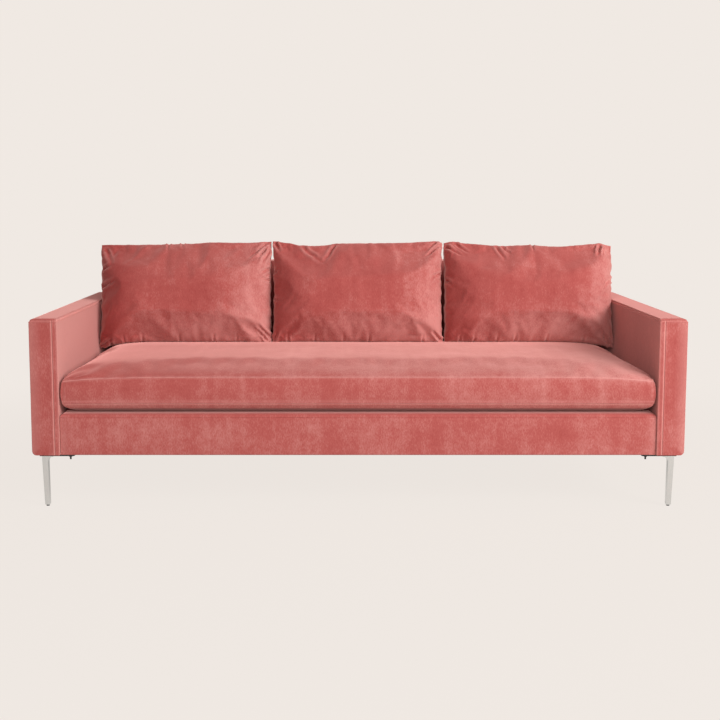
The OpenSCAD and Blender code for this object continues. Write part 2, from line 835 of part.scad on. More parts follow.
seat_half = arm_in - seat_side_gap - seat_bulge;
seat_front = -half_d + seat_front_in + seat_bulge;
seat_rear = back_face_y - seat_rear_gap - seat_bulge;
seat_depth = seat_rear - seat_front;
seat_u = stations(24);
seat_v = stations(12);
seat_nu = len(seat_u) - 1;
seat_nv = len(seat_v) - 1;
band_share = [0.25, 0.5, 0.75];

// Height of the upper seam, lower towards the ends
function seam_top(u) = deck_z + seat_top_seam - seat_seam_drop * pow(abs(u), seam_power);

// Height of the lower seam
function seam_low(u) =
    deck_z + seat_low_seam - seat_seam_drop * low_droop_share * pow(abs(u), seam_power);

// Height of the crowned top at a share u across and a share v along the cushion
function seat_top_z(u, v) =
    let (d = (1 - abs(u)) * seat_half, f = (v + 1) / 2 * seat_depth, b = (1 - v) / 2 * seat_depth,
         share = lesser(rise(d, end_run, end_powers), rise(f, front_run, front_powers))
             * rise(b, rear_run, rear_powers))
    seam_top(u) + (deck_z + seat_crown - seam_top(u)) * share;

// Height of the underside, flat but for its curved rim
function seat_low_z(u, v) =
    let (d = (1 - abs(u)) * seat_half, y = (1 - abs(v)) / 2 * seat_depth,
         share = lesser(rise(d, under_run, under_powers), rise(y, under_run, under_powers)))
    seam_low(u) + (deck_z + seat_lift - seam_low(u)) * share;

// Plan place of a station, with the corners drawn in, and pushed out by the boxing's bulge
function seat_xy(u, v, bulge) =
    let (pull = seat_corner * pow(abs(u), corner_powers[0]) * pow(abs(v), corner_powers[1]))
    [u * seat_half - sign(u) * pull + (abs(u) > edge_share ? sign(u) * bulge : 0),
     seat_front + (v + 1) / 2 * seat_depth - sign(v) * pull + (abs(v) > edge_share ? sign(v) * bulge : 0)];

// The stations round the edge, counter-clockwise from above
function seat_rim() = concat(
    [for (i = [0:seat_nu - 1]) [i, 0]], [for (j = [0:seat_nv - 1]) [seat_nu, j]],
    [for (i = [seat_nu:-1:1]) [i, seat_nv]], [for (j = [seat_nv:-1:1]) [0, j]]);

// Two triangles of a four-sided patch
function patch(a, b, c, d) = [[a, b, c], [a, c, d]];

// The two triangles of cell i, j in a grid of nu by nv cells, whose corners are q. The cell is split
// from the grid's nearest corner towards its middle, so that a corner cell is never folded flat.
function cell(q, i, j, nu, nv) =
    (2 * i < nu) == (2 * j < nv) ? patch(q[0], q[1], q[2], q[3]) : patch(q[1], q[2], q[3], q[0]);

// The same triangles seen from behind
function turned(faces) = [for (f = faces) [f[0], f[2], f[1]]];

module seat_skin() {
    rim = seat_rim();
    per = len(rim);
    grid = (seat_nu + 1) * (seat_nv + 1);
    rows = len(band_share);
    top = [for (u = seat_u) for (v = seat_v) concat(seat_xy(u, v, 0), [seat_top_z(u, v)])];
    low = [for (u = seat_u) for (v = seat_v) concat(seat_xy(u, v, 0), [seat_low_z(u, v)])];
    band = [for (s = band_share) for (p = rim)
        let (u = seat_u[p[0]], v = seat_v[p[1]], puff = seat_bulge * pow(sin(180 * s), puff_power))
        concat(seat_xy(u, v, puff), [seam_top(u) + (seam_low(u) - seam_top(u)) * s])];
    function at(i, j) = i * (seat_nv + 1) + j;
    function ring(k, s) =
        let (p = rim[s % per])
        k == 0 ? at(p[0], p[1]) : k > rows ? grid + at(p[0], p[1]) : 2 * grid + (k - 1) * per + s % per;
    upper = [for (i = [0:seat_nu - 1]) for (j = [0:seat_nv - 1])
        each cell([at(i, j), at(i, j + 1), at(i + 1, j + 1), at(i + 1, j)], i, j, seat_nu, seat_nv)];
    under = [for (f = turned(upper)) [grid + f[0], grid + f[1], grid + f[2]]];
    sides = [for (k = [0:rows]) for (s = [0:per - 1])
        each patch(ring(k, s), ring(k, s + 1), ring(k + 1, s + 1), ring(k + 1, s))];
    polyhedron(concat(top, low, band), concat(upper, under, sides));
}

// The foam core, or the hollow for it where gap is the clearance
module seat_core(gap) {
    block([-seat_half + core_inset - gap, seat_front + core_inset - gap, deck_z + core_low - gap],
          [seat_half - core_inset + gap, seat_rear - core_inset + gap, deck_z + core_low + core_t + gap]);
}

module seat_cushion_cover() {
    color("indianred") difference() {
        seat_skin();
        seat_core(fill_gap);
    }
}

module seat_foam_core() {
    color("lemonchiffon") seat_core(0);
}

// Back cushions

// Where the cushions meet, as shares of the distance from the middle to an arm
split_shares = [-1, -0.3283, 0.3385, 1];
cushion_nu = 22;
cushion_nv = 16;
fill_nu = cushion_nu / 2;
fill_nv = cushion_nv / 2;

// A point of a cushion: half width, seam-to-seam height and fullness, before it is leaned and placed
function pillow(u, v, half, h, full) =
    let (e = pow(1 - pow(abs(u), side_powers[0]), side_powers[1])
             * pow(1 - pow(abs(v), rise_powers[0]), rise_powers[1]) * (1 - belly_share * v))
    [half * u - sign(u) * cushion_side_draw * (1 - v * v) * pow(abs(u), draw_power),
     -full * e,
     h * (v + 1) / 2 - (v > 0 ? cushion_top_draw * (1 - u * u) * pow(v, draw_power) : 0)];

// The same point leaned back about the lower seam
function leaned(p) = [
    p[0], p[1] * cos(cushion_lean) + p[2] * sin(cushion_lean),
    p[2] * cos(cushion_lean) - p[1] * sin(cushion_lean)
];

// Depth at which a cushion's back lies rest_gap from the inside back, with its lower seam at height z
function cushion_y(half, z) =
    min([for (u = [0, 0.5]) for (v = stations(settle_n))
        let (p = leaned(pillow(u, v, half, cushion_h, -cushion_rear_t))) face_y(z + p[2]) - p[1]]) - rest_gap;

// Height at which a cushion's underside lies rest_gap over the seat, with its lower seam at depth y
function cushion_z(x0, half, y) =
    max([for (u = stations(settle_n / 2)) for (v = stations(settle_n))
        for (full = [cushion_front_t, -cushion_rear_t])
        let (p = leaned(pillow(u, v, half, cushion_h, full)),
             su = (x0 + p[0]) / seat_half, sv = 2 * (y + p[1] - seat_front) / seat_depth - 1)
        (abs(su) < 1 && abs(sv) < 1 ? seat_top_z(su, sv) : deck_z) - p[2]]) + rest_gap;

// A cushion's middle and half width from its number
function cushion_low_x(n) = split_shares[n] * arm_in + cushion_gap;
function cushion_high_x(n) = split_shares[n + 1] * arm_in - cushion_gap;
function cushion_x(n) = (cushion_low_x(n) + cushion_high_x(n)) / 2;
function cushion_half(n) = (cushion_high_x(n) - cushion_low_x(n)) / 2;

// A cushion's place, settled between seat and back in two steps
function cushion_place(n) =
    let (x = cushion_x(n), half = cushion_half(n), z0 = deck_z + seat_top_seam,
         y1 = cushion_y(half, z0), z1 = cushion_z(x, half, y1), y2 = cushion_y(half, z1))
    [x, y2, cushion_z(x, half, y2)];

// A closed pillow: half width, height, fullness before and behind, and the inset from the cover's seams
module pillow_solid(n, inset, thin) {
    place = cushion_place(n);
    half = cushion_half(n) - inset;
    h = cushion_h - 2 * inset;
    lift = [0, 0, inset];
    nu = fill_nu;
    nv = fill_nv;
    us = stations(nu);
    vs = stations(nv);
    front = [for (u = us) for (v = vs) place + leaned(lift + pillow(u, v, half, h, cushion_front_t - thin))];
    rear = [for (i = [1:nu - 1]) for (j = [1:nv - 1])
        place + leaned(lift + pillow(us[i], vs[j], half, h, -cushion_rear_t + thin))];
    function at(i, j) = i * (nv + 1) + j;
    function behind(i, j) = i == 0 || i == nu || j == 0 || j == nv
        ? at(i, j) : (nu + 1) * (nv + 1) + (i - 1) * (nv - 1) + j - 1;
    faces = [for (i = [0:nu - 1]) for (j = [0:nv - 1]) each concat(
        cell([at(i, j), at(i, j + 1), at(i + 1, j + 1), at(i + 1, j)], i, j, nu, nv),
        turned(cell([behind(i, j), behind(i, j + 1), behind(i + 1, j + 1), behind(i + 1, j)],
                    i, j, nu, nv)))];
    polyhedron(concat(front, rear), faces);
}

// One panel of a cushion's cover, the front one or the rear one, with its half of the hollow.
// The hollow's grid takes every second station, and a flat rim joins it to the outside.
module cover_panel(n, front) {
    place = cushion_place(n);
    full = front ? cushion_front_t : -cushion_rear_t;
    thin = (velvet_t + fill_inset / 2) * (front ? 1 : -1);
    hollow = [cushion_half(n) - fill_inset, cushion_h - 2 * fill_inset, full - thin];
    outer = [for (u = stations(cushion_nu)) for (v = stations(cushion_nv))
        place + leaned(pillow(u, v, cushion_half(n), cushion_h, full))];
    inner = [for (u = stations(fill_nu)) for (v = stations(fill_nv))
        place + leaned([0, 0, fill_inset] + pillow(u, v, hollow[0], hollow[1], hollow[2]))];
    function out(i, j) = i * (cushion_nv + 1) + j;
    function in(i, j) = len(outer) + i * (fill_nv + 1) + j;
    rim = concat(
        [for (i = [0:fill_nu - 1]) [i, 0]], [for (j = [0:fill_nv - 1]) [fill_nu, j]],
        [for (i = [fill_nu:-1:1]) [i, fill_nv]], [for (j = [fill_nv:-1:1]) [0, j]]);
    shell = [for (i = [0:cushion_nu - 1]) for (j = [0:cushion_nv - 1])
        each cell([out(i, j), out(i, j + 1), out(i + 1, j + 1), out(i + 1, j)],
                  i, j, cushion_nu, cushion_nv)];
    lining = turned([for (i = [0:fill_nu - 1]) for (j = [0:fill_nv - 1])
        each cell([in(i, j), in(i, j + 1), in(i + 1, j + 1), in(i + 1, j)], i, j, fill_nu, fill_nv)]);
    edge = [for (k = [0:len(rim) - 1])
        let (a = rim[k], b = rim[(k + 1) % len(rim)],
             o0 = out(2 * a[0], 2 * a[1]), o1 = out(a[0] + b[0], a[1] + b[1]), o2 = out(2 * b[0], 2 * b[1]),
             i0 = in(a[0], a[1]), i1 = in(b[0], b[1]))
        each [[o0, o1, i0], [o1, i1, i0], [o1, o2, i1]]];
    faces = concat(shell, lining, edge);
    color("indianred")
        polyhedron(concat(outer, inner), front ? faces : turned(faces));
}

module filling(n) {
    color("white") pillow_solid(n, fill_inset + fill_gap, velvet_t + fill_inset / 2 + fill_gap);
}

front_rail();
rear_rail();
side_rails();
stretchers();
corner_blocks();
seat_springs();
spring_clips();
tie_wires();
deck_pad();
deck_cloth();
front_rail_pad();
front_rail_cover();
mirror([1, 0, 0]) arm_frame();  // arm_frame_left
arm_frame();  // arm_frame_right
mirror([1, 0, 0]) arm_boards();  // arm_boards_left
arm_boards();  // arm_boards_right
mirror([1, 0, 0]) arm_pad();  // arm_pad_left
arm_pad();  // arm_pad_right
mirror([1, 0, 0]) arm_cover();  // arm_cover_left
arm_cover();  // arm_cover_right
arm_bolts();
back_frame();
back_webbing();
back_pad();
back_cover();
outside_back_board();
outside_back_panel();
back_bolts();
dust_cover();
leg_plates();
leg_studs();
leg_nuts();
leg_front_left();
leg_front_right();
leg_rear_left();
leg_rear_right();
glides();
seat_cushion_cover();
seat_foam_core();
cover_panel(0, true);  // left_cushion_front
cover_panel(0, false);  // left_cushion_rear
cover_panel(1, true);  // middle_cushion_front
cover_panel(1, false);  // middle_cushion_rear
cover_panel(2, true);  // right_cushion_front
cover_panel(2, false);  // right_cushion_rear
filling(0);  // filling_left
filling(1);  // filling_middle
filling(2);  // filling_right
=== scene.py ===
"""Looks of a three-seat velvet sofa with thin square arms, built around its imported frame.

Metres, +Z up, +X to the right as seen from the front, and the front faces -Y. The frame gives
every place: a piece takes its box from the CAD node that it stands for.
"""

import json
import logging
import math
from collections.abc import Callable, Iterable, Iterator, Sequence
from contextlib import contextmanager
from dataclasses import dataclass, field
from enum import Enum

import bmesh
import bpy
import numpy as np
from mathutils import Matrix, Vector, noise


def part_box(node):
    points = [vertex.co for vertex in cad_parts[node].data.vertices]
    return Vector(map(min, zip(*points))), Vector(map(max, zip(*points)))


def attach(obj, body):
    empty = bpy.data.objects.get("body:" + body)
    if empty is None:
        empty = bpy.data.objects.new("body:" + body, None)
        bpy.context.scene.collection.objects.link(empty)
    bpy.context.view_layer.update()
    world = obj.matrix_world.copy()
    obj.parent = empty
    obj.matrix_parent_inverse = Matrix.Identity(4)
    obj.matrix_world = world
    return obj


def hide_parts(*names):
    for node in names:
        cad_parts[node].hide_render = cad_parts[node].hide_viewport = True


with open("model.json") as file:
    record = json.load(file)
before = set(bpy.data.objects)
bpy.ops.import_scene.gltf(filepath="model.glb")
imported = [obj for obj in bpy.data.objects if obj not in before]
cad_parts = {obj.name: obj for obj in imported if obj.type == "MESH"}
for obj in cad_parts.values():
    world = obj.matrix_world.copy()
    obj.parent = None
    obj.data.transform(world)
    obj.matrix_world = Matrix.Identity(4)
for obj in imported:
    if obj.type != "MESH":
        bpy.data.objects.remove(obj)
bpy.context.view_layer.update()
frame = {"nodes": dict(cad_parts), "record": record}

LOG = logging.getLogger("sofa")
MM = 0.001
TOUCH = 0.01 * MM
RIM_SHARE = 0.9995


class Slot(Enum):
    """The record's material slots."""

    VELVET = "velvet"
    DECK_CLOTH = "deck_cloth"
    PADDING = "padding"
    FOAM = "foam"
    FILLING = "filling"
    WEBBING = "webbing"
    BLACK_CLOTH = "black_cloth"
    HARDWOOD = "hardwood"
    HARDBOARD = "hardboard"
    SPRING_STEEL = "spring_steel"
    PLATED_STEEL = "plated_steel"
    BLACK_STEEL = "black_steel"
    CHROME = "polished_chrome"
    GLIDE = "glide_plastic"


class Body(Enum):
    """The CAD bodies that pieces ride on."""

    FRAME = "frame"
    SEAT = "seat_cushion"
    LEFT = "back_cushion_left"
    MIDDLE = "back_cushion_middle"
    RIGHT = "back_cushion_right"


# Shader building


@dataclass(frozen=True)
class Wire:
    """One output socket of a material, on which sums are written as plain expressions."""

    tree: "Tree"
    socket: bpy.types.NodeSocket

    def _math(self, operation: str, *values: "Wire | float") -> "Wire":
        """Adds one Math node.

        Args:
            operation: The Math node's operation.
            values: Its inputs in order, wires or numbers.

        Returns:
            The node's value.
        """
        return self.tree.node("ShaderNodeMath", {"operation": operation}, dict(enumerate(values)))

    def __add__(self, other: "Wire | float") -> "Wire":
        """Sum with a wire or a number."""
        return self._math("ADD", self, other)

    def __radd__(self, other: float) -> "Wire":
        """Sum with a number on the left."""
        return self._math("ADD", other, self)

    def __sub__(self, other: "Wire | float") -> "Wire":
        """Difference to a wire or a number."""
        return self._math("SUBTRACT", self, other)

    def __rsub__(self, other: float) -> "Wire":
        """Difference from a number on the left."""
        return self._math("SUBTRACT", other, self)

    def __mul__(self, other: "Wire | float") -> "Wire":
        """Product with a wire or a number."""
        return self._math("MULTIPLY", self, other)

    def __rmul__(self, other: float) -> "Wire":
        """Product with a number on the left."""
        return self._math("MULTIPLY", other, self)

    def __pow__(self, other: "Wire | float") -> "Wire":
        """Power."""
        return self._math("POWER", self, other)

    def clamped(self) -> "Wire":
        """The value held between 0 and 1."""
        return self._math("MAXIMUM", self._math("MINIMUM", self, 1.0), 0.0)


Value = Wire | float | Sequence[float]


class Tree:
    """The node tree of one material, or of the world."""

    def __init__(self, name: str, world: bool = False) -> None:
        """Starts an empty tree.

        Args:
            name: The material's or the world's name.
            world: Whether it is a world.
        """
        self.kind = "World" if world else "Material"
        self.material = (bpy.data.worlds if world else bpy.data.materials).new(name)
        self.material.use_nodes = True
        self.nodes = self.material.node_tree.nodes
        self.links = self.material.node_tree.links
        self.nodes.clear()

    def node(
        self, kind: str, settings: dict[str, object], inputs: dict[str | int, Value], out: str | int = 0
    ) -> Wire:
        """Adds any node: its settings are set first, then its inputs are filled or linked.

        Args:
            kind: The node's type.
            settings: Properties of the node; "stops" is a ramp's list of position and colour.
            inputs: Values or wires by socket name or number.
            out: The output that is returned.

        Returns:
            The chosen output.
        """
        made = self.nodes.new(kind)
        for key, value in settings.items():
            if key == "stops":
                self._set_stops(made.color_ramp, value)
            else:
                setattr(made, key, value)
        for key, value in inputs.items():
            if isinstance(value, Wire):
                self.links.new(value.socket, made.inputs[key])
            else:
                made.inputs[key].default_value = value
        return Wire(self, made.outputs[out] if made.outputs else None)

    @staticmethod
    def _set_stops(ramp: bpy.types.ColorRamp, stops: Sequence[tuple[float, Sequence[float]]]) -> None:
        """Gives a ramp its stops.

        Args:
            ramp: The colour ramp.
            stops: Position and colour of each stop, at least two.
        """
        while len(ramp.elements) < len(stops):
            ramp.elements.new(1.0)
        for element, (position, colour) in zip(ramp.elements, stops, strict=True):
            element.position = position
            element.color = (*colour, 1.0)

    def place(self, scale: Sequence[float] = (1.0, 1.0, 1.0)) -> Wire:
        """Object coordinates, stretched.

        Args:
            scale: Factor along each axis.

        Returns:
            The mapped coordinates.
        """
        raw = self.node("ShaderNodeTexCoord", {}, {}, "Object")
        return self.node("ShaderNodeMapping", {}, {"Vector": raw, "Scale": scale})

    def noise(self, where: Wire, scale: float, detail: float = 2.0, rough: float = 0.5) -> Wire:
        """Fractal noise from 0 to 1.

        Args:
            where: Coordinates.
            scale: Cells per metre.
            detail: Octaves.
            rough: Weight of the finer octaves.

        Returns:
            The noise's value.
        """
        inputs = {"Vector": where, "Scale": scale, "Detail": detail, "Roughness": rough}
        return self.node("ShaderNodeTexNoise", {}, inputs, "Fac")

    def mix(self, share: Wire | float, low: Value, high: Value) -> Wire:
        """A colour between two colours.

        Args:
            share: 0 for the first colour, 1 for the second.
            low: First colour.
            high: Second colour.

        Returns:
            The mixed colour.
        """
        inputs = {0: share, 6: self._colour(low), 7: self._colour(high)}
        return self.node("ShaderNodeMix", {"data_type": "RGBA"}, inputs, 2)

    @staticmethod
    def _colour(value: Value) -> Value:
        """A colour with its fourth value, or the wire itself."""
        return value if isinstance(value, Wire) else (*value, 1.0)

    def bump(self, height: Wire, distance: float, strength: float = 1.0, under: Wire | None = None) -> Wire:
        """A normal bent by a height.

        Args:
            height: Height from 0 to 1.
            distance: What 1 stands for, in metres.
            strength: Share of the effect.
            under: A normal that was bent before.

        Returns:
            The bent normal.
        """
        inputs: dict[str | int, Value] = {"Height": height, "Distance": distance, "Strength": strength}
        if under is not None:
            inputs["Normal"] = under
        return self.node("ShaderNodeBump", {}, inputs)

    def finish(self, constants: dict[str, Value], **varying: Wire) -> bpy.types.Material:
        """Ends the material in one Principled shader.

        Args:
            constants: Socket values that are the same all over.
            varying: Wires by socket name, with _ for a space.

        Returns:
            The material.
        """
        inputs: dict[str | int, Value] = dict(constants)
        inputs.update({key.replace("_", " "): wire for key, wire in varying.items()})
        return self.close(self.node("ShaderNodeBsdfPrincipled", {}, inputs))

    def close(self, shader: Wire) -> bpy.types.Material | bpy.types.World:
        """Links a shader to the output.

        Args:
            shader: The last shader.

        Returns:
            The material or the world.
        """
        self.node(f"ShaderNodeOutput{self.kind}", {}, {"Surface": shader})
        return self.material

    def looking(self, *kinds: str) -> Wire:
        """One for a ray that looks.

        Args:
            kinds: Kinds of ray beside the camera's.

        Returns:
            The answer.
        """
        seen = self.node("ShaderNodeLightPath", {}, {}, "Is Camera Ray")
        for kind in kinds:
            seen = seen + self.node("ShaderNodeLightPath", {}, {}, f"Is {kind} Ray")
        return seen.clamped()


# Finishes

Colour = tuple[float, float, float]


@dataclass(frozen=True)
class Velvet:
    """Cotton velvet: short pile in fine threads with a soft sheen, crushed patches and faint bands, and
    painted light and shade in its base colour.
    """

    low: Colour = (0.335, 0.050, 0.045)
    mid: Colour = (0.430, 0.094, 0.083)
    high: Colour = (0.590, 0.235, 0.212)
    # Lighter colour for painted sheen and highlights along seams, rims and fold crests, for painted light on
    # lit faces, and for wear.
    sheen_and_wear_colour: Colour = (0.650, 0.300, 0.272)
    # Near black colour for painted shade under the seat cushion.
    painted_crevice_shade: Colour = (0.022, 0.005, 0.005)
    # Painted light: faces turned to the right are lighter, faces turned up darker and faces turned down
    # lighter.
    painted_light_from_right: float = 0.22
    painted_light_from_below: float = 0.12
    sheen: float = 0.85
    sheen_roughness: float = 0.5
    sheen_tint: Colour = (1.0, 0.52, 0.47)
    patch_scale: float = 6.0
    patch_share: float = 0.75
    band_scale: float = 30.0
    band_share: float = 0.35
    pile_scale: float = 340.0
    pile_share: float = 0.85
    pile_depth: float = 0.25 * MM
    crush_scale: float = 38.0
    crush_share: float = 0.36
    crush_depth: float = 0.7 * MM
    # How strongly the painted sheen, highlights, light and wear lighten the pile.
    lighten_gain: float = 0.9
    roughness: float = 0.78
    crush_roughness: float = 0.12
    gloss: float = 0.12

    def make(self) -> bpy.types.Material:
        """Builds the material."""
        tree = Tree("velvet_rose")
        patches = tree.noise(tree.place(), self.patch_scale, 4.0, 0.58)
        bands = tree.noise(tree.place((1.0, 0.09, 0.09)), self.band_scale, 2.0, 0.6)
        pile = tree.noise(tree.place((1.0, 0.35, 0.35)), self.pile_scale, 2.0, 0.7)
        crush = tree.noise(tree.place(), self.crush_scale, 3.0, 0.55)
        surface = tree.node("ShaderNodeNewGeometry", {}, {}, "Normal")
        side = tree.node("ShaderNodeSeparateXYZ", {}, {0: surface}, "X")
        up = tree.node("ShaderNodeSeparateXYZ", {}, {0: surface}, "Z")
        # Per-point painted light and shade.
        painted_light = tree.node("ShaderNodeAttribute", {"attribute_name": "painted_light"}, {}, "Fac")
        mottle = (patches - 0.5) * self.patch_share + (bands - 0.5) * self.band_share + painted_light
        fine = (crush - 0.5) * self.crush_share + (pile - 0.5) * self.pile_share
        # The side and up terms paint light and shade by the way a face turns.
        tone = (mottle + fine + side * self.painted_light_from_right - up * self.painted_light_from_below + 0.5).clamped()
        stops = [(0.0, self.low), (0.5, self.mid), (1.0, self.high)]
        plain = tree.node("ShaderNodeValToRGB", {"stops": stops}, {0: tone}, "Color")
        wear_sheen_and_shade = tree.node("ShaderNodeAttribute", {"attribute_name": "wear_sheen_and_shade"}, {}, "Fac")
        # Lighter where sheen, highlights and light are painted and where the pile is worn.
        lighter = tree.mix((wear_sheen_and_shade * self.lighten_gain).clamped(), plain, self.sheen_and_wear_colour)
        # Near black where shade is painted.
        colour = tree.mix((wear_sheen_and_shade * -1.0).clamped(), lighter, self.painted_crevice_shade)
        soft = tree.bump(crush, self.crush_depth, 0.5)
        normal = tree.bump(pile, self.pile_depth, 0.6, soft)
        constants = {
            "Specular IOR Level": self.gloss,
            "Sheen Weight": self.sheen,
            "Sheen Roughness": self.sheen_roughness,
            "Sheen Tint": (*self.sheen_tint, 1.0),
        }
        rough = self.roughness + (crush - 0.5) * self.crush_roughness
        return tree.finish(constants, Base_Color=colour, Roughness=rough, Normal=normal)


@dataclass(frozen=True)
class Metal:
    """Plated, painted or polished metal with fine handling marks."""

    name: str
    colour: Colour
    roughness: float
    metallic: float = 1.0
    mark_scale: float = 180.0
    mark_share: float = 0.10

    def make(self) -> bpy.types.Material:
        """Builds the material."""
        tree = Tree(self.name)
        marks = tree.noise(tree.place((1.0, 1.0, 0.2)), self.mark_scale, 4.0, 0.6)
        dulled = tuple(c * 0.86 for c in self.colour)
        colour = tree.mix(marks, dulled, self.colour)
        rough = (marks - 0.5) * self.mark_share + self.roughness
        normal = tree.bump(marks, 0.02 * MM, 0.4)
        return tree.finish({"Metallic": self.metallic}, Base_Color=colour, Roughness=rough, Normal=normal)


@dataclass(frozen=True)
class Cloth:
    """Plain woven or felted cloth."""

    name: str
    colour: Colour
    shade: Colour
    thread: float = 1400.0
    depth: float = 0.15 * MM
    roughness: float = 0.9

    def make(self) -> bpy.types.Material:
        """Builds the material."""
        tree = Tree(self.name)
        warp = tree.noise(tree.place((1.0, 0.06, 0.06)), self.thread, 1.0)
        weft = tree.noise(tree.place((0.06, 1.0, 1.0)), self.thread, 1.0)
        cloud = tree.noise(tree.place(), 14.0, 3.0)
        weave = warp * 0.5 + weft * 0.5
        tone = ((cloud - 0.5) * 0.8 + (weave - 0.5) * 1.4 + 0.5).clamped()
        colour = tree.mix(tone, self.shade, self.colour)
        normal = tree.bump(weave, self.depth, 0.7)
        rough = (weave - 0.5) * 0.1 + self.roughness
        return tree.finish({"Specular IOR Level": 0.2}, Base_Color=colour, Roughness=rough, Normal=normal)


@dataclass(frozen=True)
class Wood:
    """Sawn timber or pressed board, with its grain along X."""

    name: str
    light: Colour
    dark: Colour
    grain: float = 60.0
    depth: float = 0.2 * MM

    def make(self) -> bpy.types.Material:
        """Builds the material."""
        tree = Tree(self.name)
        rings = tree.noise(tree.place((0.06, 1.0, 1.0)), self.grain, 4.0, 0.6)
        pores = tree.noise(tree.place((0.04, 1.0, 1.0)), self.grain * 14, 2.0)
        tone = ((rings - 0.5) * 2.2 + 0.5 + (pores - 0.5) * 0.6).clamped()
        colour = tree.mix(tone, self.dark, self.light)
        normal = tree.bump(pores, self.depth, 0.5)
        rough = (pores - 0.5) * 0.15 + 0.68
        return tree.finish({}, Base_Color=colour, Roughness=rough, Normal=normal)


@dataclass(frozen=True)
class Plastic:
    """Moulded plastic with a fine grain."""

    name: str
    colour: Colour
    roughness: float = 0.55

    def make(self) -> bpy.types.Material:
        """Builds the material."""
        tree = Tree(self.name)
        grain = tree.noise(tree.place(), 900.0, 2.0)
        colour = tree.mix(grain, tuple(c * 0.8 for c in self.colour), self.colour)
        rough = (grain - 0.5) * 0.1 + self.roughness
        return tree.finish({}, Base_Color=colour, Roughness=rough, Normal=tree.bump(grain, 0.05 * MM, 0.4))


FINISHES: dict[Slot, Velvet | Metal | Cloth | Wood | Plastic] = {
    Slot.VELVET: Velvet(),
    Slot.DECK_CLOTH: Cloth("deck_cloth_rose", (0.44, 0.13, 0.12), (0.30, 0.075, 0.07)),
    Slot.PADDING: Cloth("polyester_padding", (0.80, 0.80, 0.78), (0.66, 0.66, 0.64), 500.0, 1.2 * MM),
    Slot.FOAM: Plastic("seat_foam", (0.84, 0.78, 0.55), 0.95),
    Slot.FILLING: Cloth("feather_filling_cloth", (0.86, 0.86, 0.84), (0.74, 0.74, 0.72)),
    Slot.WEBBING: Cloth("black_webbing", (0.045, 0.045, 0.05), (0.018, 0.018, 0.02), 420.0, 0.5 * MM),
    Slot.BLACK_CLOTH: Cloth("dust_cloth_black", (0.020, 0.020, 0.021), (0.010, 0.010, 0.011)),
    Slot.HARDWOOD: Wood("sawn_hardwood", (0.60, 0.40, 0.22), (0.42, 0.25, 0.12)),
    Slot.HARDBOARD: Wood("pressed_board", (0.24, 0.13, 0.065), (0.16, 0.085, 0.04), 240.0),
    Slot.SPRING_STEEL: Metal("spring_steel", (0.10, 0.10, 0.11), 0.42, 0.7),
    Slot.PLATED_STEEL: Metal("zinc_plated_steel", (0.62, 0.61, 0.58), 0.36),
    Slot.BLACK_STEEL: Metal("black_painted_steel", (0.012, 0.012, 0.012), 0.45, 0.0),
    Slot.CHROME: Metal("polished_chrome", (0.86, 0.88, 0.87), 0.07, 1.0, 260.0, 0.05),
    Slot.GLIDE: Plastic("grey_glide", (0.09, 0.09, 0.09)),
}


class Wardrobe:
    """Makes each finish once, and dresses pieces and CAD nodes in them."""

    def __init__(self) -> None:
        """Starts with nothing made."""
        self._made: dict[Slot, bpy.types.Material] = {}

    def material(self, slot: Slot) -> bpy.types.Material:
        """The finish of a slot, made when it is first asked for."""
        if slot not in self._made:
            self._made[slot] = FINISHES[slot].make()
        return self._made[slot]

    def dress(self, obj: bpy.types.Object, slot: Slot) -> None:
        """Gives an object one finish all over.

        Args:
            obj: A piece or a CAD node's object.
            slot: The slot whose finish it takes.
        """
        obj.data.materials.clear()
        obj.data.materials.append(self.material(slot))

    def dress_nodes(self) -> None:
        """Gives every CAD node the finish of its own slot in the record."""
        slots = {part["node"]: Slot(part["material_slot"]) for part in frame["record"]["subparts"]}
        for name, obj in frame["nodes"].items():
            self.dress(obj, slots[name])


# Mesh building


def deselect() -> None:
    """Leaves edit mode and selects nothing."""
    if bpy.context.object is not None and bpy.context.object.mode != "OBJECT":
        bpy.ops.object.mode_set(mode="OBJECT")
    bpy.ops.object.select_all(action="DESELECT")


def pick(obj: bpy.types.Object) -> bpy.types.Object:
    """Selects one object alone and makes it active."""
    deselect()
    obj.select_set(True)
    bpy.context.view_layer.objects.active = obj
    return obj


@contextmanager
def editing(obj: bpy.types.Object, action: str = "DESELECT") -> Iterator[bmesh.types.BMesh]:
    """Edit mode on one object, with nothing selected at the start, or with all of it.

    Args:
        obj: The object.
        action: What happens to the selection first, SELECT or DESELECT.

    Yields:
        Its edit mesh.
    """
    pick(obj)
    bpy.ops.object.mode_set(mode="EDIT")
    bpy.ops.mesh.select_all(action=action)
    yield bmesh.from_edit_mesh(obj.data)
    bpy.ops.object.mode_set(mode="OBJECT")


Element = bmesh.types.BMVert | bmesh.types.BMEdge | bmesh.types.BMFace


def choose(mesh: bmesh.types.BMesh, items: Iterable[Element]) -> None:
    """Selects points, edges or faces in edit mode."""
    for item in items:
        item.select_set(True)
    mesh.select_flush_mode()


def shift(obj: bpy.types.Object, test: Callable[[Vector], bool], by: Sequence[float]) -> None:
    """Moves the points of an object that pass a test on their place."""
    with editing(obj) as mesh:
        choose(mesh, (v for v in mesh.verts if test(v.co)))
        bpy.ops.transform.translate(value=by)


def cut(obj: bpy.types.Object, cuts: Iterable[tuple[int, float]]) -> None:
    """Cuts right through an object, square to its axes.

    Args:
        obj: The object.
        cuts: Axis and place of each cut.
    """
    for axis, place in cuts:
        with editing(obj, "SELECT"):
            spot, normal = [0.0, 0.0, 0.0], [0.0, 0.0, 0.0]
            spot[axis], normal[axis] = place, 1.0
            bpy.ops.mesh.bisect(plane_co=spot, plane_no=normal)


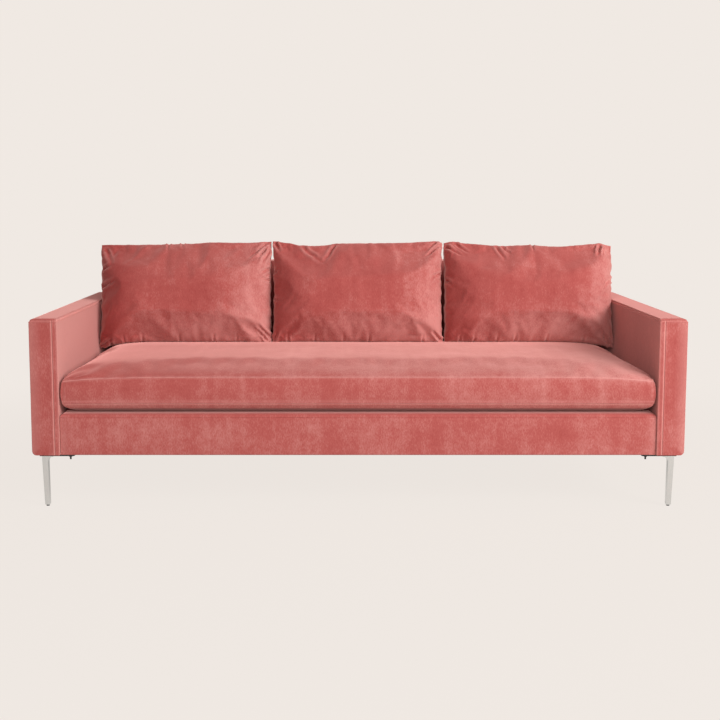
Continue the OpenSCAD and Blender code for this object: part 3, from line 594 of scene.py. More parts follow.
def on_planes(*planes: tuple[int, float]) -> Callable[[Vector, Vector], bool]:
    """Makes a test on an edge.

    Args:
        planes: Axis and place of each plane that has to hold both its ends.

    Returns:
        The test on the edge's two ends.
    """
    return lambda *ends: all(abs(end[axis] - place) < TOUCH for end in ends for axis, place in planes)


def into_scene(name: str, data: bpy.types.ID) -> bpy.types.Object:
    """A new object of the scene that holds the data."""
    made = bpy.data.objects.new(name, data)
    bpy.context.scene.collection.objects.link(made)
    return made


def coordinates(obj: bpy.types.Object) -> np.ndarray:
    """The object's vertices as an array of n by 3."""
    flat = np.empty(len(obj.data.vertices) * 3, np.float64)
    obj.data.vertices.foreach_get("co", flat)
    return flat.reshape(-1, 3)


def set_coordinates(obj: bpy.types.Object, points: np.ndarray) -> None:
    """Writes the object's vertices back."""
    obj.data.vertices.foreach_set("co", points.ravel())
    obj.data.update()


def apply_modifier(obj: bpy.types.Object, kind: str, **settings: object) -> None:
    """Adds one modifier and applies it.

    Args:
        obj: The object.
        kind: The modifier's type.
        settings: Its properties.
    """
    pick(obj)
    added = obj.modifiers.new(kind.lower(), kind)
    for key, value in settings.items():
        setattr(added, key, value)
    bpy.ops.object.modifier_apply(modifier=added.name)


def smooth(obj: bpy.types.Object, degrees: float = 50.0) -> None:
    """Shades an object smooth up to an angle."""
    pick(obj)
    bpy.ops.object.shade_smooth_by_angle(angle=math.radians(degrees))


def box_block(name: str, low: Sequence[float], high: Sequence[float]) -> bpy.types.Object:
    """A block between two corners, with its place in its mesh.

    Args:
        name: The object's name.
        low: Lowest corner.
        high: Highest corner.

    Returns:
        The object.
    """
    deselect()
    middle = [(a + b) / 2 for a, b in zip(low, high, strict=True)]
    size = [b - a for a, b in zip(low, high, strict=True)]
    bpy.ops.mesh.primitive_cube_add(size=1, location=middle, scale=size)
    made = bpy.context.object
    made.name = name
    bpy.ops.object.transform_apply(location=True, rotation=True, scale=True)
    return made


def join(name: str, parts: Sequence[bpy.types.Object], weld: float = 0.02 * MM) -> bpy.types.Object:
    """Joins parts into one object and welds the points that meet.

    Args:
        name: The joined object's name.
        parts: Objects, the first of which is kept.
        weld: Distance below which points become one.

    Returns:
        The joined object.
    """
    deselect()
    for part in parts:
        part.select_set(True)
    bpy.context.view_layer.objects.active = parts[0]
    if len(parts) > 1:
        bpy.ops.object.join()
    made = bpy.context.object
    made.name = name
    with editing(made, "SELECT") as mesh:
        bpy.ops.mesh.remove_doubles(threshold=weld)
        bpy.ops.mesh.normals_make_consistent(inside=False)
        if mesh.calc_volume(signed=True) < 0:
            bpy.ops.mesh.flip_normals()
    return made


def steps(length: float, near: Sequence[float], stride: float) -> np.ndarray:
    """Stations over a length, at given distances from both ends and evenly between.

    Args:
        length: The whole length.
        near: Distances from either end, rising from zero.
        stride: About the distance between the stations in the middle.

    Returns:
        The stations from 0 to the length.
    """
    first = np.array(near)
    count = max(2, round((length - 2 * first[-1]) / stride))
    middle = np.linspace(first[-1], length - first[-1], count + 1)[1:-1]
    return np.concatenate([first, middle, length - first[::-1]])


def blend_step(value: np.ndarray, low: float, high: float) -> np.ndarray:
    """Smooth step from 0 at the low end to 1 at the high end."""
    share = np.clip((value - low) / (high - low), 0, 1)
    return share * share * (3 - 2 * share)


def grain(points: np.ndarray, scale: float, seed: float, octaves: int = 3) -> np.ndarray:
    """Smooth noise from about -1 to 1 at each point.

    Args:
        points: Points, n by 3.
        scale: Cells per metre.
        seed: Offset that tells one piece's noise from another's.
        octaves: Layers of finer noise.

    Returns:
        One value for each point.
    """
    shift = Vector((seed * 7.31, seed * 3.17, seed * 5.93))
    values = [noise.fractal(Vector(p) * scale + shift, 1.0, 2.0, octaves) for p in points]
    return np.array(values)


def ripple(run: np.ndarray, scale: float, seed: float) -> np.ndarray:
    """Smooth noise that changes along one run alone."""
    return grain(np.stack([run, run * 0, run * 0], 1), scale, seed, 2)


def bell(distance: np.ndarray, width: float) -> np.ndarray:
    """One at no distance, fading out evenly past a width."""
    return np.exp(-((distance / width) ** 2))


def measure(path: np.ndarray) -> tuple[np.ndarray, np.ndarray]:
    """Lengths of a path's stretches, and the run up to each of its points."""
    lengths = np.linalg.norm(np.diff(path, axis=0), axis=1)
    return lengths, np.concatenate([[0], np.cumsum(lengths)])


def read_mark(obj: bpy.types.Object, key: str) -> np.ndarray:
    """A value that is kept on every point of an object."""
    values = np.empty(len(obj.data.vertices), np.float32)
    obj.data.attributes[key].data.foreach_get("value", values)
    return values.astype(np.float64)


def write_mark(obj: bpy.types.Object, key: str, values: np.ndarray) -> None:
    """Keeps a value on every point of an object."""
    layer = obj.data.attributes.get(key) or obj.data.attributes.new(key, "FLOAT", "POINT")
    layer.data.foreach_set("value", values.astype(np.float32))


class Skin:
    """The points of a piece, moved along their normals to press seams and folds into it.

    The attribute "worn" is above 0 where the pile is painted lighter, for painted sheen and highlights and
    for wear, and below 0 where shade is painted dark into crevices. The attribute "lay" holds painted light
    and shade.
    """

    # Width of the painted sheen beside a seam, and strength of the painted highlight on fold crests.
    seam_sheen_width = 1.8 * MM
    crest_sheen = 0.45

    def __init__(self, obj: bpy.types.Object) -> None:
        """Reads the piece's points and normals.

        Args:
            obj: The piece.
        """
        self.obj = obj
        self.points = coordinates(obj)
        self.normals = self._read_normals()
        self.wear_sheen_and_shade, self.painted_light = (
            read_mark(obj, name) if name in obj.data.attributes else np.zeros(len(self.points))
            for name in ("wear_sheen_and_shade", "painted_light")
        )

    def _read_normals(self) -> np.ndarray:
        """Vertex normals as an array."""
        flat = np.empty(len(self.obj.data.vertices) * 3, np.float32)
        self.obj.data.vertices.foreach_get("normal", flat)
        return flat.reshape(-1, 3).astype(np.float64)

    def near(self, path: np.ndarray) -> tuple[np.ndarray, np.ndarray]:
        """How far every point is from a path.

        Args:
            path: Points of an open line, n by 3.

        Returns:
            The distance to the line, and the share of the line's length at the nearest place.
        """
        best = np.full(len(self.points), 1e9)
        share = np.zeros(len(self.points))
        lengths, run = measure(path)
        for start, end, before, length in zip(path[:-1], path[1:], run[:-1], lengths, strict=True):
            along = end - start
            t = np.clip((self.points - start) @ along / max(length * length, 1e-12), 0, 1)
            away = np.linalg.norm(self.points - start - t[:, None] * along, axis=1)
            closer = away < best
            best = np.where(closer, away, best)
            share = np.where(closer, (before + t * length) / run[-1], share)
        return best, share

    def push(self, amount: np.ndarray) -> None:
        """Moves each point outwards along its normal."""
        self.points += self.normals * amount[:, None]

    def lighten(self, amount: np.ndarray) -> None:
        """Lightens the pile at least this much at each point: painted sheen, highlights and light, and wear.
        """
        self.wear_sheen_and_shade = np.maximum(self.wear_sheen_and_shade, amount)

    def slack(self, scale: float, seed: float) -> np.ndarray:
        """How loose the cover lies at each point, from 0 to 1."""
        return np.clip(grain(self.points, scale, seed), -1, 1) * 0.5 + 0.5

    def seam(
        self, path: np.ndarray, depth: float = 1.1 * MM, width: float = 1.5 * MM, lighten: float = 1.0
    ) -> None:
        """Presses a sewn seam into the piece: a narrow valley between two low rolls of pile, with a painted
        sheen along it.

        Args:
            path: The seam's line.
            depth: Depth of the valley.
            width: Half width of the valley.
            lighten: How much lighter the pile is painted beside it, a painted sheen.
        """
        away, _ = self.near(path)
        roll = bell(away - 2.6 * width, 1.3 * width)
        self.push(depth * (0.45 * roll - bell(away, width)))
        # Painted sheen beside the seam.
        self.lighten(lighten * np.maximum(bell(away, self.seam_sheen_width), 0.2 * roll))

    def fold(self, path: np.ndarray, depth: float, width: float, roll: float = 0.5) -> None:
        """Presses a fold that is deep at its start and fades out to its end, with a painted highlight along
        its crests.

        Args:
            path: The fold's line.
            depth: Depth of the valley; a ridge where it is negative.
            width: Half width of the valley.
            roll: Height of the swell on both sides, as a share of the depth.
        """
        away, share = self.near(path)
        fade = (1 - share) ** 0.7 * (0.4 + 0.6 * blend_step(share, 0, 0.12))
        valley, swell = bell(away, width), bell(away - 1.9 * width, 0.9 * width)
        self.push(-depth * fade * (valley - roll * swell))
        # Painted highlight along the crest.
        self.lighten(self.crest_sheen * fade * (swell if depth > 0 else valley))

    def settle(self) -> None:
        """Writes the points back and reads the new normals."""
        set_coordinates(self.obj, self.points)
        self.normals = self._read_normals()

    def finish(self) -> None:
        """Writes the points, the painted sheen, wear and shade, and the painted light and shade of the piece.
        """
        set_coordinates(self.obj, self.points)
        write_mark(self.obj, "wear_sheen_and_shade", self.wear_sheen_and_shade)
        write_mark(self.obj, "painted_light", self.painted_light)
        self.obj.data.update()


# Pieces


class Workshop:
    """Places finished pieces on their bodies and reports them."""

    def __init__(self, wardrobe: Wardrobe) -> None:
        """Takes the finishes.

        Args:
            wardrobe: Where the finishes come from.
        """
        self.wardrobe = wardrobe

    def place(
        self, obj: bpy.types.Object, slot: Slot, body: Body = Body.FRAME, stands_for: Sequence[str] = ()
    ) -> bpy.types.Object:
        """Dresses a piece, lets it ride on its body and hides the nodes that it stands for.

        Args:
            obj: The piece.
            slot: Its finish.
            body: The CAD body that it moves with.
            stands_for: CAD nodes that it replaces.

        Returns:
            The piece.
        """
        self.wardrobe.dress(obj, slot)
        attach(obj, body.value)
        if stands_for:
            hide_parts(*stands_for)
        LOG.info("%s: %d faces on %s", obj.name, len(obj.data.polygons), body.value)
        return obj


def box_of(node: str) -> tuple[np.ndarray, np.ndarray]:
    """Lowest and highest corner of a CAD node as arrays."""
    low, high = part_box(node)
    return np.array(low), np.array(high)


def line(*corners: Sequence[float]) -> np.ndarray:
    """A path through corners as an array."""
    return np.array(corners, np.float64)


@dataclass
class Stitches:
    """Sewing thread: short bars laid along seams."""

    pitch: float = 4.6 * MM
    length: float = 3.5 * MM
    radius: float = 0.42 * MM
    lift: float = 0.15 * MM
    sides: int = 6

    def _bar(self) -> tuple[np.ndarray, list[tuple[int, ...]]]:
        """One stitch along X, made from a tapered cylinder."""
        deselect()
        bpy.ops.mesh.primitive_cylinder_add(vertices=self.sides, radius=self.radius, depth=self.length)
        bar = bpy.context.object
        with editing(bar) as mesh:
            choose(mesh, (f for f in mesh.faces if abs(f.normal.z) > 0.9))
            bpy.ops.mesh.inset(thickness=self.radius * 0.5, depth=-self.radius * 0.4)
        points = coordinates(bar)[:, [2, 0, 1]]
        faces = [tuple(p.vertices) for p in bar.data.polygons]
        bpy.data.objects.remove(bar)
        return points, faces

    def make(self, name: str, runs: Sequence[tuple[np.ndarray, np.ndarray]]) -> bpy.types.Object:
        """Sews along paths.

        Args:
            name: The piece's name.
            runs: Each path with the outward direction of the cloth at its points.

        Returns:
            All the stitches as one mesh.
        """
        bar, bar_faces = self._bar()
        points: list[np.ndarray] = []
        faces: list[tuple[int, ...]] = []
        for path, outward in runs:
            _, run = measure(path)
            for s in np.arange(self.pitch, run[-1] - self.pitch, self.pitch):
                ends = [
                    np.array([np.interp(t, run, path[:, k]) for k in range(3)])
                    for t in (s - self.length / 2, s + self.length / 2)
                ]
                out = np.array([np.interp(s, run, outward[:, k]) for k in range(3)])
                along = (ends[1] - ends[0]) / np.linalg.norm(ends[1] - ends[0])
                out = out - along * (out @ along)
                out /= np.linalg.norm(out)
                turn = np.stack([along, out, np.cross(along, out)])
                offset = len(points) * len(bar)
                points.append(bar @ turn + (ends[0] + ends[1]) / 2 + out * self.lift)
                faces.extend(tuple(i + offset for i in f) for f in bar_faces)
        mesh = bpy.data.meshes.new(name)
        mesh.from_pydata(np.concatenate(points).tolist(), [], faces)
        made = into_scene(name, mesh)
        smooth(made)
        return made


def soft_box(
    name: str,
    low: np.ndarray,
    high: np.ndarray,
    rounds: Sequence[tuple[Callable[[Vector, Vector], bool], float, int]],
    cuts: Sequence[tuple[int, float]],
) -> bpy.types.Object:
    """An upholstered box: its edges are rounded in turn, then it is cut where soft moves need points.

    Args:
        name: The object's name.
        low: Lowest corner.
        high: Highest corner.
        rounds: A test on the two ends of an edge, its radius and its segments, in order.
        cuts: Axis and place of each flat cut.

    Returns:
        The object.
    """
    made = box_block(name, low, high)
    for test, radius, segments in rounds:
        with editing(made) as mesh:
            choose(mesh, (e for e in mesh.edges if test(e.verts[0].co, e.verts[1].co)))
            bpy.ops.mesh.bevel(offset=radius, segments=segments, profile=0.5, clamp_overlap=True)
    cut(made, cuts)
    return made


def band_cuts(axis: int, place: float, low: float, high: float) -> list[tuple[int, float]]:
    """Cuts on both sides of a seam, close together at the seam.

    Args:
        axis: Axis across the seam.
        place: The seam's place on it.
        low: Lowest place that may be cut.
        high: Highest place that may be cut.

    Returns:
        Axis and place of each cut.
    """
    places = [place + offset * MM for offset in (-9, -6, -4, -2.8, -1.8, -0.9, 0, 0.9, 1.8, 2.8, 4, 6, 9)]
    return [(axis, p) for p in places if low + 0.1 * MM < p < high - 0.1 * MM]


def even_cuts(axis: int, low: float, high: float, stride: float) -> list[tuple[int, float]]:
    """Cuts spread evenly between two ends.

    Args:
        axis: Axis across the cuts.
        low: Lower end.
        high: Higher end.
        stride: About the distance between them.

    Returns:
        Axis and place of each cut.
    """
    count = max(2, round((high - low) / stride))
    return [(axis, low + (high - low) * i / count) for i in range(1, count)]


@dataclass
class ArmUpholstery:
    """One arm in velvet over padding: a cap strip on top, a front panel and two side panels."""

    side: str
    top_round: float = 18 * MM
    low_round: float = 15 * MM
    edge_round: float = 5 * MM
    cap_drop: float = 8 * MM
    front_seam_in: float = 18 * MM
    stride: float = 24 * MM
    slack: float = 1.0 * MM
    wear_width: float = 5 * MM
    # Painted light on the inner face, painted sheen over it, and painted shade on the top.
    inner_painted_light: float = 0.0
    inner_painted_sheen: float = 0.0
    top_painted_shade: float = -0.7

    def build(self, shop: Workshop) -> bpy.types.Object:
        """Makes the arm.

        Args:
            shop: Where pieces are placed.

        Returns:
            The arm's upholstery.
        """
        node = f"arm_cover_{self.side}"
        low, high = box_of(node)
        sign = -1.0 if self.side == "left" else 1.0
        outer, inner = (low[0], high[0]) if sign < 0 else (high[0], low[0])
        front, rear = low[1], high[1]
        cap_z = high[2] - self.cap_drop
        seam_x, rear_seam_x = inner + sign * self.front_seam_in, outer - sign * self.front_seam_in
        front_edge, rear_edge, inner_edge = on_planes((1, front)), on_planes((1, rear)), on_planes((0, inner))

        def sharp_edge(a: Vector, b: Vector) -> bool:
            """Whether an edge rims the front or the rear, or runs along the inner face."""
            return front_edge(a, b) or rear_edge(a, b) or (inner_edge(a, b) and abs(a.y - b.y) > 0.1)

        rounds = [
            (on_planes((0, outer), (2, high[2])), self.top_round, 8),
            (on_planes((0, outer), (2, low[2])), self.low_round, 7),
            (sharp_edge, self.edge_round, 4),
        ]
        cuts = band_cuts(2, cap_z, low[2], high[2] - self.edge_round)
        cuts += band_cuts(0, seam_x, min(inner, outer), max(inner, outer))
        cuts += even_cuts(1, front + self.edge_round, rear - self.edge_round, self.stride)
        cuts += even_cuts(2, low[2] + self.low_round, cap_z - 9 * MM, self.stride)
        cuts += even_cuts(0, *sorted((seam_x + sign * 10 * MM, outer - sign * self.top_round)), self.stride)
        arm = soft_box(f"arm_upholstery_{self.side}", low, high, rounds, cuts)
        skin = Skin(arm)
        panel_y = front + self.edge_round * 0.3
        skin.seam(line((inner, panel_y, cap_z), (outer, panel_y, cap_z)), 1.6 * MM)
        skin.seam(line((inner, front, cap_z), (inner, rear, cap_z)), 2.0 * MM)
        skin.seam(line((outer, front, cap_z), (outer, rear, cap_z)))
        skin.seam(line((seam_x, front, low[2]), (seam_x, front, cap_z)))
        skin.seam(line((rear_seam_x, rear, low[2]), (rear_seam_x, rear, cap_z)))
        x, y, z = skin.points.T
        facing_in = skin.normals[:, 0] * sign < -0.7
        sag = skin.slack(5.0, 2 + sign)
        inset = blend_step(z, low[2], low[2] + 0.05) * blend_step(-z, -cap_z, -cap_z + 0.03)
        skin.push(np.where(facing_in, -sag, sag - 0.6) * self.slack * np.clip(inset + 0.2, 0, 1))
        # Painted light on the inner face and painted shade on the top.
        skin.painted_light = self.inner_painted_light * facing_in + self.top_painted_shade * (skin.normals[:, 2] > 0.7)
        edge = np.minimum(np.abs(x - inner), np.abs(x - outer))
        skin.lighten(0.45 * bell(y - front, self.wear_width) * bell(edge, self.wear_width))
        # Painted light over the inner face below the cap seam.
        skin.lighten(self.inner_painted_sheen * facing_in * (z < cap_z - 6 * MM))
        skin.finish()
        smooth(arm, 40)
        shop.place(arm, Slot.VELVET, Body.FRAME, [node, f"arm_pad_{self.side}"])
        return arm


@dataclass
class RailUpholstery:
    """The front rail in velvet, with rounded upper ends."""

    end_round: float = 15 * MM
    edge_round: float = 6 * MM
    stride: float = 26 * MM
    slack: float = 1.2 * MM
    end_wear: float = 0.35
    wear_width: float = 5 * MM
    # Painted light on the front face.
    painted_light: float = 0.06

    def build(self, shop: Workshop) -> bpy.types.Object:
        """Makes the rail's upholstery.

        Args:
            shop: Where pieces are placed.

        Returns:
            The rail's upholstery.
        """
        low, high = box_of("front_rail_cover")
        top = on_planes((2, high[2]))
        rounds = [
            (lambda a, b: top(a, b) and abs(a.x - b.x) < TOUCH, self.end_round, 7),
            (on_planes((1, low[1])), self.edge_round, 5),
        ]
        cuts = even_cuts(0, low[0] + self.end_round, high[0] - self.end_round, self.stride)
        cuts += even_cuts(2, low[2] + self.edge_round, high[2] - self.end_round, self.stride * 0.6)
        cuts += even_cuts(1, low[1] + self.edge_round, high[1], self.stride * 0.6)
        rail = soft_box("front_rail_upholstery", low, high, rounds, cuts)
        skin = Skin(rail)
        facing = np.clip(-skin.normals[:, 1], 0, 1)
        swell = grain(skin.points, 4.0, 5.0)
        rim = np.minimum(skin.points[:, 2] - low[2], high[2] - skin.points[:, 2])
        skin.push(self.slack * facing * (swell - 0.5 + 0.9 * blend_step(rim, 0, 0.05)))
        ends = np.minimum(skin.points[:, 0] - low[0], high[0] - skin.points[:, 0])
        skin.wear_sheen_and_shade = self.end_wear * bell(ends, self.wear_width) * facing
        # Painted light on the front face.
        skin.painted_light = self.painted_light * facing
        skin.finish()
        smooth(rail, 40)
        shop.place(rail, Slot.VELVET, Body.FRAME, ["front_rail_cover", "front_rail_pad"])
        return rail


@dataclass
class BackUpholstery:
    """The inside back and its top in velvet: a raked slab with soft edges."""

    base_thick: float = 170 * MM
    top_thick: float = 115 * MM
    deck_height: float = 321 * MM
    edge_round: float = 6 * MM
    seam_drop: float = 20 * MM
    stride: float = 30 * MM
    slack: float = 1.5 * MM
    clearance: float = 0.3 * MM

    def face_at(self, z: np.ndarray) -> np.ndarray:
        """Depth of the inside back's face at a height."""
        low, high = box_of("back_cover")
        slope = (self.base_thick - self.top_thick) / (high[2] - self.deck_height)
        return low[1] + np.maximum(0, z - self.deck_height) * slope

    def build(self, shop: Workshop) -> bpy.types.Object:
        """Makes the inside back.

        Args:
            shop: Where pieces are placed.

        Returns:
            The inside back's upholstery.
        """
        low, high = box_of("back_cover")
        face, top = low[1], high[2]
        made = box_block("inside_back_upholstery", low, high)
        cut(made, [(2, self.deck_height)])
        top_front = on_planes((1, face), (2, top))
        shift(made, lambda place: top_front(place, place), (0, self.base_thick - self.top_thick, 0))
        with editing(made) as mesh:
            choose(mesh, (e for e in mesh.edges if all(abs(v.co.z - top) < TOUCH for v in e.verts)))
            bpy.ops.mesh.bevel(offset=self.edge_round, segments=4, profile=0.5)
        cuts = even_cuts(0, low[0], high[0], self.stride)
        cuts += even_cuts(2, self.deck_height, top - 30 * MM, self.stride)
        cuts += band_cuts(2, top - self.seam_drop, low[2], top - self.edge_round)
        cut(made, cuts)
        self._seat_the_board(made)
        skin = Skin(made)
        facing = skin.normals[:, 1] < -0.7
        skin.push(np.where(facing, -skin.slack(4.0, 9.0), 0.0) * self.slack)
        skin.finish()
        smooth(made, 40)
        shop.place(made, Slot.VELVET, Body.FRAME, ["back_cover", "back_pad"])
        return made

    def _seat_the_board(self, made: bpy.types.Object) -> None:
        """Sets the rear of the slab in below its top seam, where the outside back and its board go.

        Args:
            made: The slab.
        """
        rear, board = box_of("back_cover")[1][1], box_of("outside_back_board")
        under = box_of("outside_back_panel")[1][2] + self.clearance
        wall = board[1][0] + self.clearance
        step = self.clearance / 2
        cut(made, [(2, under), (2, under - step), (0, wall), (0, wall + step), (0, -wall), (0, -wall - step)])

        def set_in(reach: float, depth: float) -> None:
            """Moves the rear's points below the seam, up to a reach from the middle, to a depth."""
            below = under - step / 2
            by = (0, depth - self.clearance - rear, 0)
            shift(made, lambda p: p.z < below and p.y > rear - TOUCH and abs(p.x) < reach, by)

        set_in(wall + step / 2, board[0][1])
        set_in(math.inf, board[1][1])


@dataclass
class OutsideBack:
    """The rear panel of velvet, pulled tight over its board and tacked blind along its top."""

    stride: float = 40 * MM
    tack_step: float = 83 * MM

    def build(self, shop: Workshop) -> bpy.types.Object:
        """Makes the outside back.

        Args:
            shop: Where pieces are placed.

        Returns:
            The panel.
        """
        low, high = box_of("outside_back_panel")
        cuts = even_cuts(0, low[0], high[0], self.stride) + even_cuts(2, low[2], high[2], self.stride)
        cuts += [(2, high[2] - d * MM) for d in (4, 8, 13, 20)]
        rounds = [(on_planes((1, high[1])), 1.4 * MM, 3)]
        panel = soft_box("outside_back_velvet", low, high, rounds, cuts)
        skin = Skin(panel)
        facing = np.clip(skin.normals[:, 1], 0, 1)
        under = high[2] - skin.points[:, 2]
        turns = skin.points[:, 0] * 2 * np.pi / self.tack_step
        tacks = 0.5 + 0.5 * np.cos(turns + grain(skin.points, 3.0, 4.0))
        skin.push(-0.5 * MM * facing * tacks * bell(under, 20 * MM))
        skin.wear_sheen_and_shade = 0.6 * bell(under, 2.5 * MM) * facing
        skin.finish()
        smooth(panel, 40)
        shop.place(panel, Slot.VELVET, Body.FRAME, ["outside_back_panel"])
        return panel


@dataclass
class Deck:
    """The platform cloth under the seat cushion, sewn across and padded beneath."""

    stride: float = 40 * MM
    hollow: float = 1.5 * MM
    seam_in: float = 30 * MM

    def build(self, shop: Workshop) -> bpy.types.Object:
        """Makes the deck.

        Args:
            shop: Where pieces are placed.

        Returns:
            The deck.
        """
        low, high = box_of("deck_cloth")
        low[2] = box_of("deck_pad")[0][2]
        across = low[1] + self.seam_in
        cuts = even_cuts(0, low[0], high[0], self.stride) + even_cuts(1, low[1], high[1], self.stride)
        cuts += band_cuts(1, across, low[1], high[1])
        deck = soft_box("deck_upholstery", low, high, [(on_planes((2, high[2])), 1.5 * MM, 2)], cuts)
        skin = Skin(deck)
        up = np.clip(skin.normals[:, 2], 0, 1)
        skin.push(-self.hollow * up * skin.slack(4.0, 12.0))
        skin.seam(line((low[0], across, high[2]), (high[0], across, high[2])), 1.0 * MM)
        skin.finish()
        smooth(deck, 40)
        shop.place(deck, Slot.DECK_CLOTH, Body.FRAME, ["deck_cloth", "deck_pad"])
        return deck


@dataclass
class DustCloth:
    """The black cloth under the frame, stapled all round."""

    stride: float = 60 * MM
    hang: float = 2.0 * MM
    staple_step: float = 55 * MM
    staple_in: float = 7 * MM
    staple_wide: float = 10 * MM
    wire: float = 0.7 * MM

    def build(self, shop: Workshop) -> bpy.types.Object:
        """Makes the cloth and its staples.

        Args:
            shop: Where pieces are placed.

        Returns:
            The cloth.
        """
        low, high = box_of("dust_cover")
        cuts = even_cuts(0, low[0], high[0], self.stride) + even_cuts(1, low[1], high[1], self.stride)
        cloth = soft_box("dust_cloth", low, high, [], cuts)
        skin = Skin(cloth)
        rim = np.minimum(
            np.minimum(skin.points[:, 0] - low[0], high[0] - skin.points[:, 0]),
            np.minimum(skin.points[:, 1] - low[1], high[1] - skin.points[:, 1]),
        )
        sag = (0.6 + 0.4 * np.clip(grain(skin.points, 3.0, 15.0), -1, 1)) * blend_step(rim, 0.03, 0.2)
        skin.points[:, 2] -= self.hang * sag
        skin.finish()
        smooth(cloth, 40)
        shop.place(cloth, Slot.BLACK_CLOTH, Body.FRAME, ["dust_cover"])
        shop.place(self._staples(low, high), Slot.PLATED_STEEL)
        return cloth

    def _staples(self, low: np.ndarray, high: np.ndarray) -> bpy.types.Object:
        """The staples along the cloth's edge, one bevelled bar copied round.

        Args:
            low: The cloth's lowest corner.
            high: The cloth's highest corner.

        Returns:
            All the staples as one mesh.
        """
        x1, y1 = high[0] - self.staple_in, high[1] - self.staple_in
        half, thin = self.staple_wide / 2, self.wire / 2
        along_x = np.arange(-x1 + 0.13, x1 - 0.12, self.staple_step)
        along_y = np.arange(-y1 + 0.14, y1 - 0.13, self.staple_step)
        spots = [((x, side * y1), (half, thin)) for side in (-1, 1) for x in along_x]
        spots += [((side * x1, y), (thin, half)) for side in (-1, 1) for y in along_y]
        parts = []
        for spot, size in spots:
            centre, reach = np.array([*spot, low[2] - thin]), np.array([*size, thin])
            parts.append(box_block("staple", centre - reach, centre + reach))
        made = join("dust_cloth_staples", parts)
        with editing(made, "SELECT"):
            bpy.ops.mesh.bevel(offset=self.wire * 0.25, segments=1)
        smooth(made)
        return made


@dataclass
class Leg:
    """One polished leg: its edges are broken and its flare is smooth."""

    place: str
    edge: float = 0.9 * MM

    def build(self, shop: Workshop) -> bpy.types.Object:
        """Makes the leg from the frame's own outline.

        Args:
            shop: Where pieces are placed.

        Returns:
            The leg.
        """
        node = f"leg_{self.place}"
        leg = into_scene(f"polished_leg_{self.place}", frame["nodes"][node].data.copy())
        with editing(leg, "SELECT"):
            bpy.ops.mesh.remove_doubles(threshold=0.02 * MM)
            bpy.ops.mesh.dissolve_limited(angle_limit=math.radians(1.5))
        sharp = math.radians(50)
        apply_modifier(leg, "BEVEL", width=self.edge, segments=3, limit_method="ANGLE", angle_limit=sharp)
        smooth(leg, 40)
        return shop.place(leg, Slot.CHROME, Body.FRAME, [node])


# Cushions


def rise(distance: np.ndarray, run: float, powers: tuple[float, float]) -> np.ndarray:
    """Rise from 0 at an edge to 1 where the run ends.

    Args:
        distance: Distance from the edge.
        run: Where the rise ends.
        powers: How round the rise is.

    Returns:
        The share of the full height.
    """
    left = 1 - np.clip(distance / run, 0, 1)
    return (1 - left ** powers[0]) ** powers[1]


def plump(share: np.ndarray, powers: tuple[float, float]) -> np.ndarray:
    """Fullness at a share from the middle: 1 there, and 0 at the seams at -1 and 1."""
    return (1 - np.abs(share) ** powers[0]) ** powers[1]


def lesser(a: np.ndarray, b: np.ndarray) -> np.ndarray:
    """Smooth lesser of two shares."""
    low, high = np.maximum(a, 1e-6), np.maximum(b, 1e-6)
    return (low**-4 + high**-4 - 1) ** -0.25


def grid_piece(
    name: str, us: np.ndarray, vs: np.ndarray, shape: Callable[..., np.ndarray], **marks: float
) -> bpy.types.Object:
    """A sheet of cells whose points come from a shape on two stations.

    Args:
        name: The object's name.
        us: Stations across.
        vs: Stations along.
        shape: Takes arrays of both stations and gives points, n by 3.
        marks: Values that are kept on every point, beside its stations.

    Returns:
        The object.
    """
    deselect()
    bpy.ops.mesh.primitive_grid_add(x_subdivisions=len(us) - 1, y_subdivisions=len(vs) - 1, size=2)
    made = bpy.context.object
    made.name = name
    flat = coordinates(made)
    i = np.rint((flat[:, 0] + 1) / 2 * (len(us) - 1)).astype(int)
    j = np.rint((flat[:, 1] + 1) / 2 * (len(vs) - 1)).astype(int)
    u, v = us[i], vs[j]
    set_coordinates(made, shape(u, v))
    for key, value in {"across": u, "along": v, **marks}.items():
        write_mark(made, key, np.broadcast_to(value, u.shape))
    return made


VELVET_CLOTH = {
    "quality": 5,
    "mass": 0.35,
    "tension_stiffness": 12.0,
    "compression_stiffness": 12.0,
    "shear_stiffness": 4.0,
    "bending_stiffness": 0.6,
    "use_pressure": True,
    "vertex_group_mass": "seams",
}


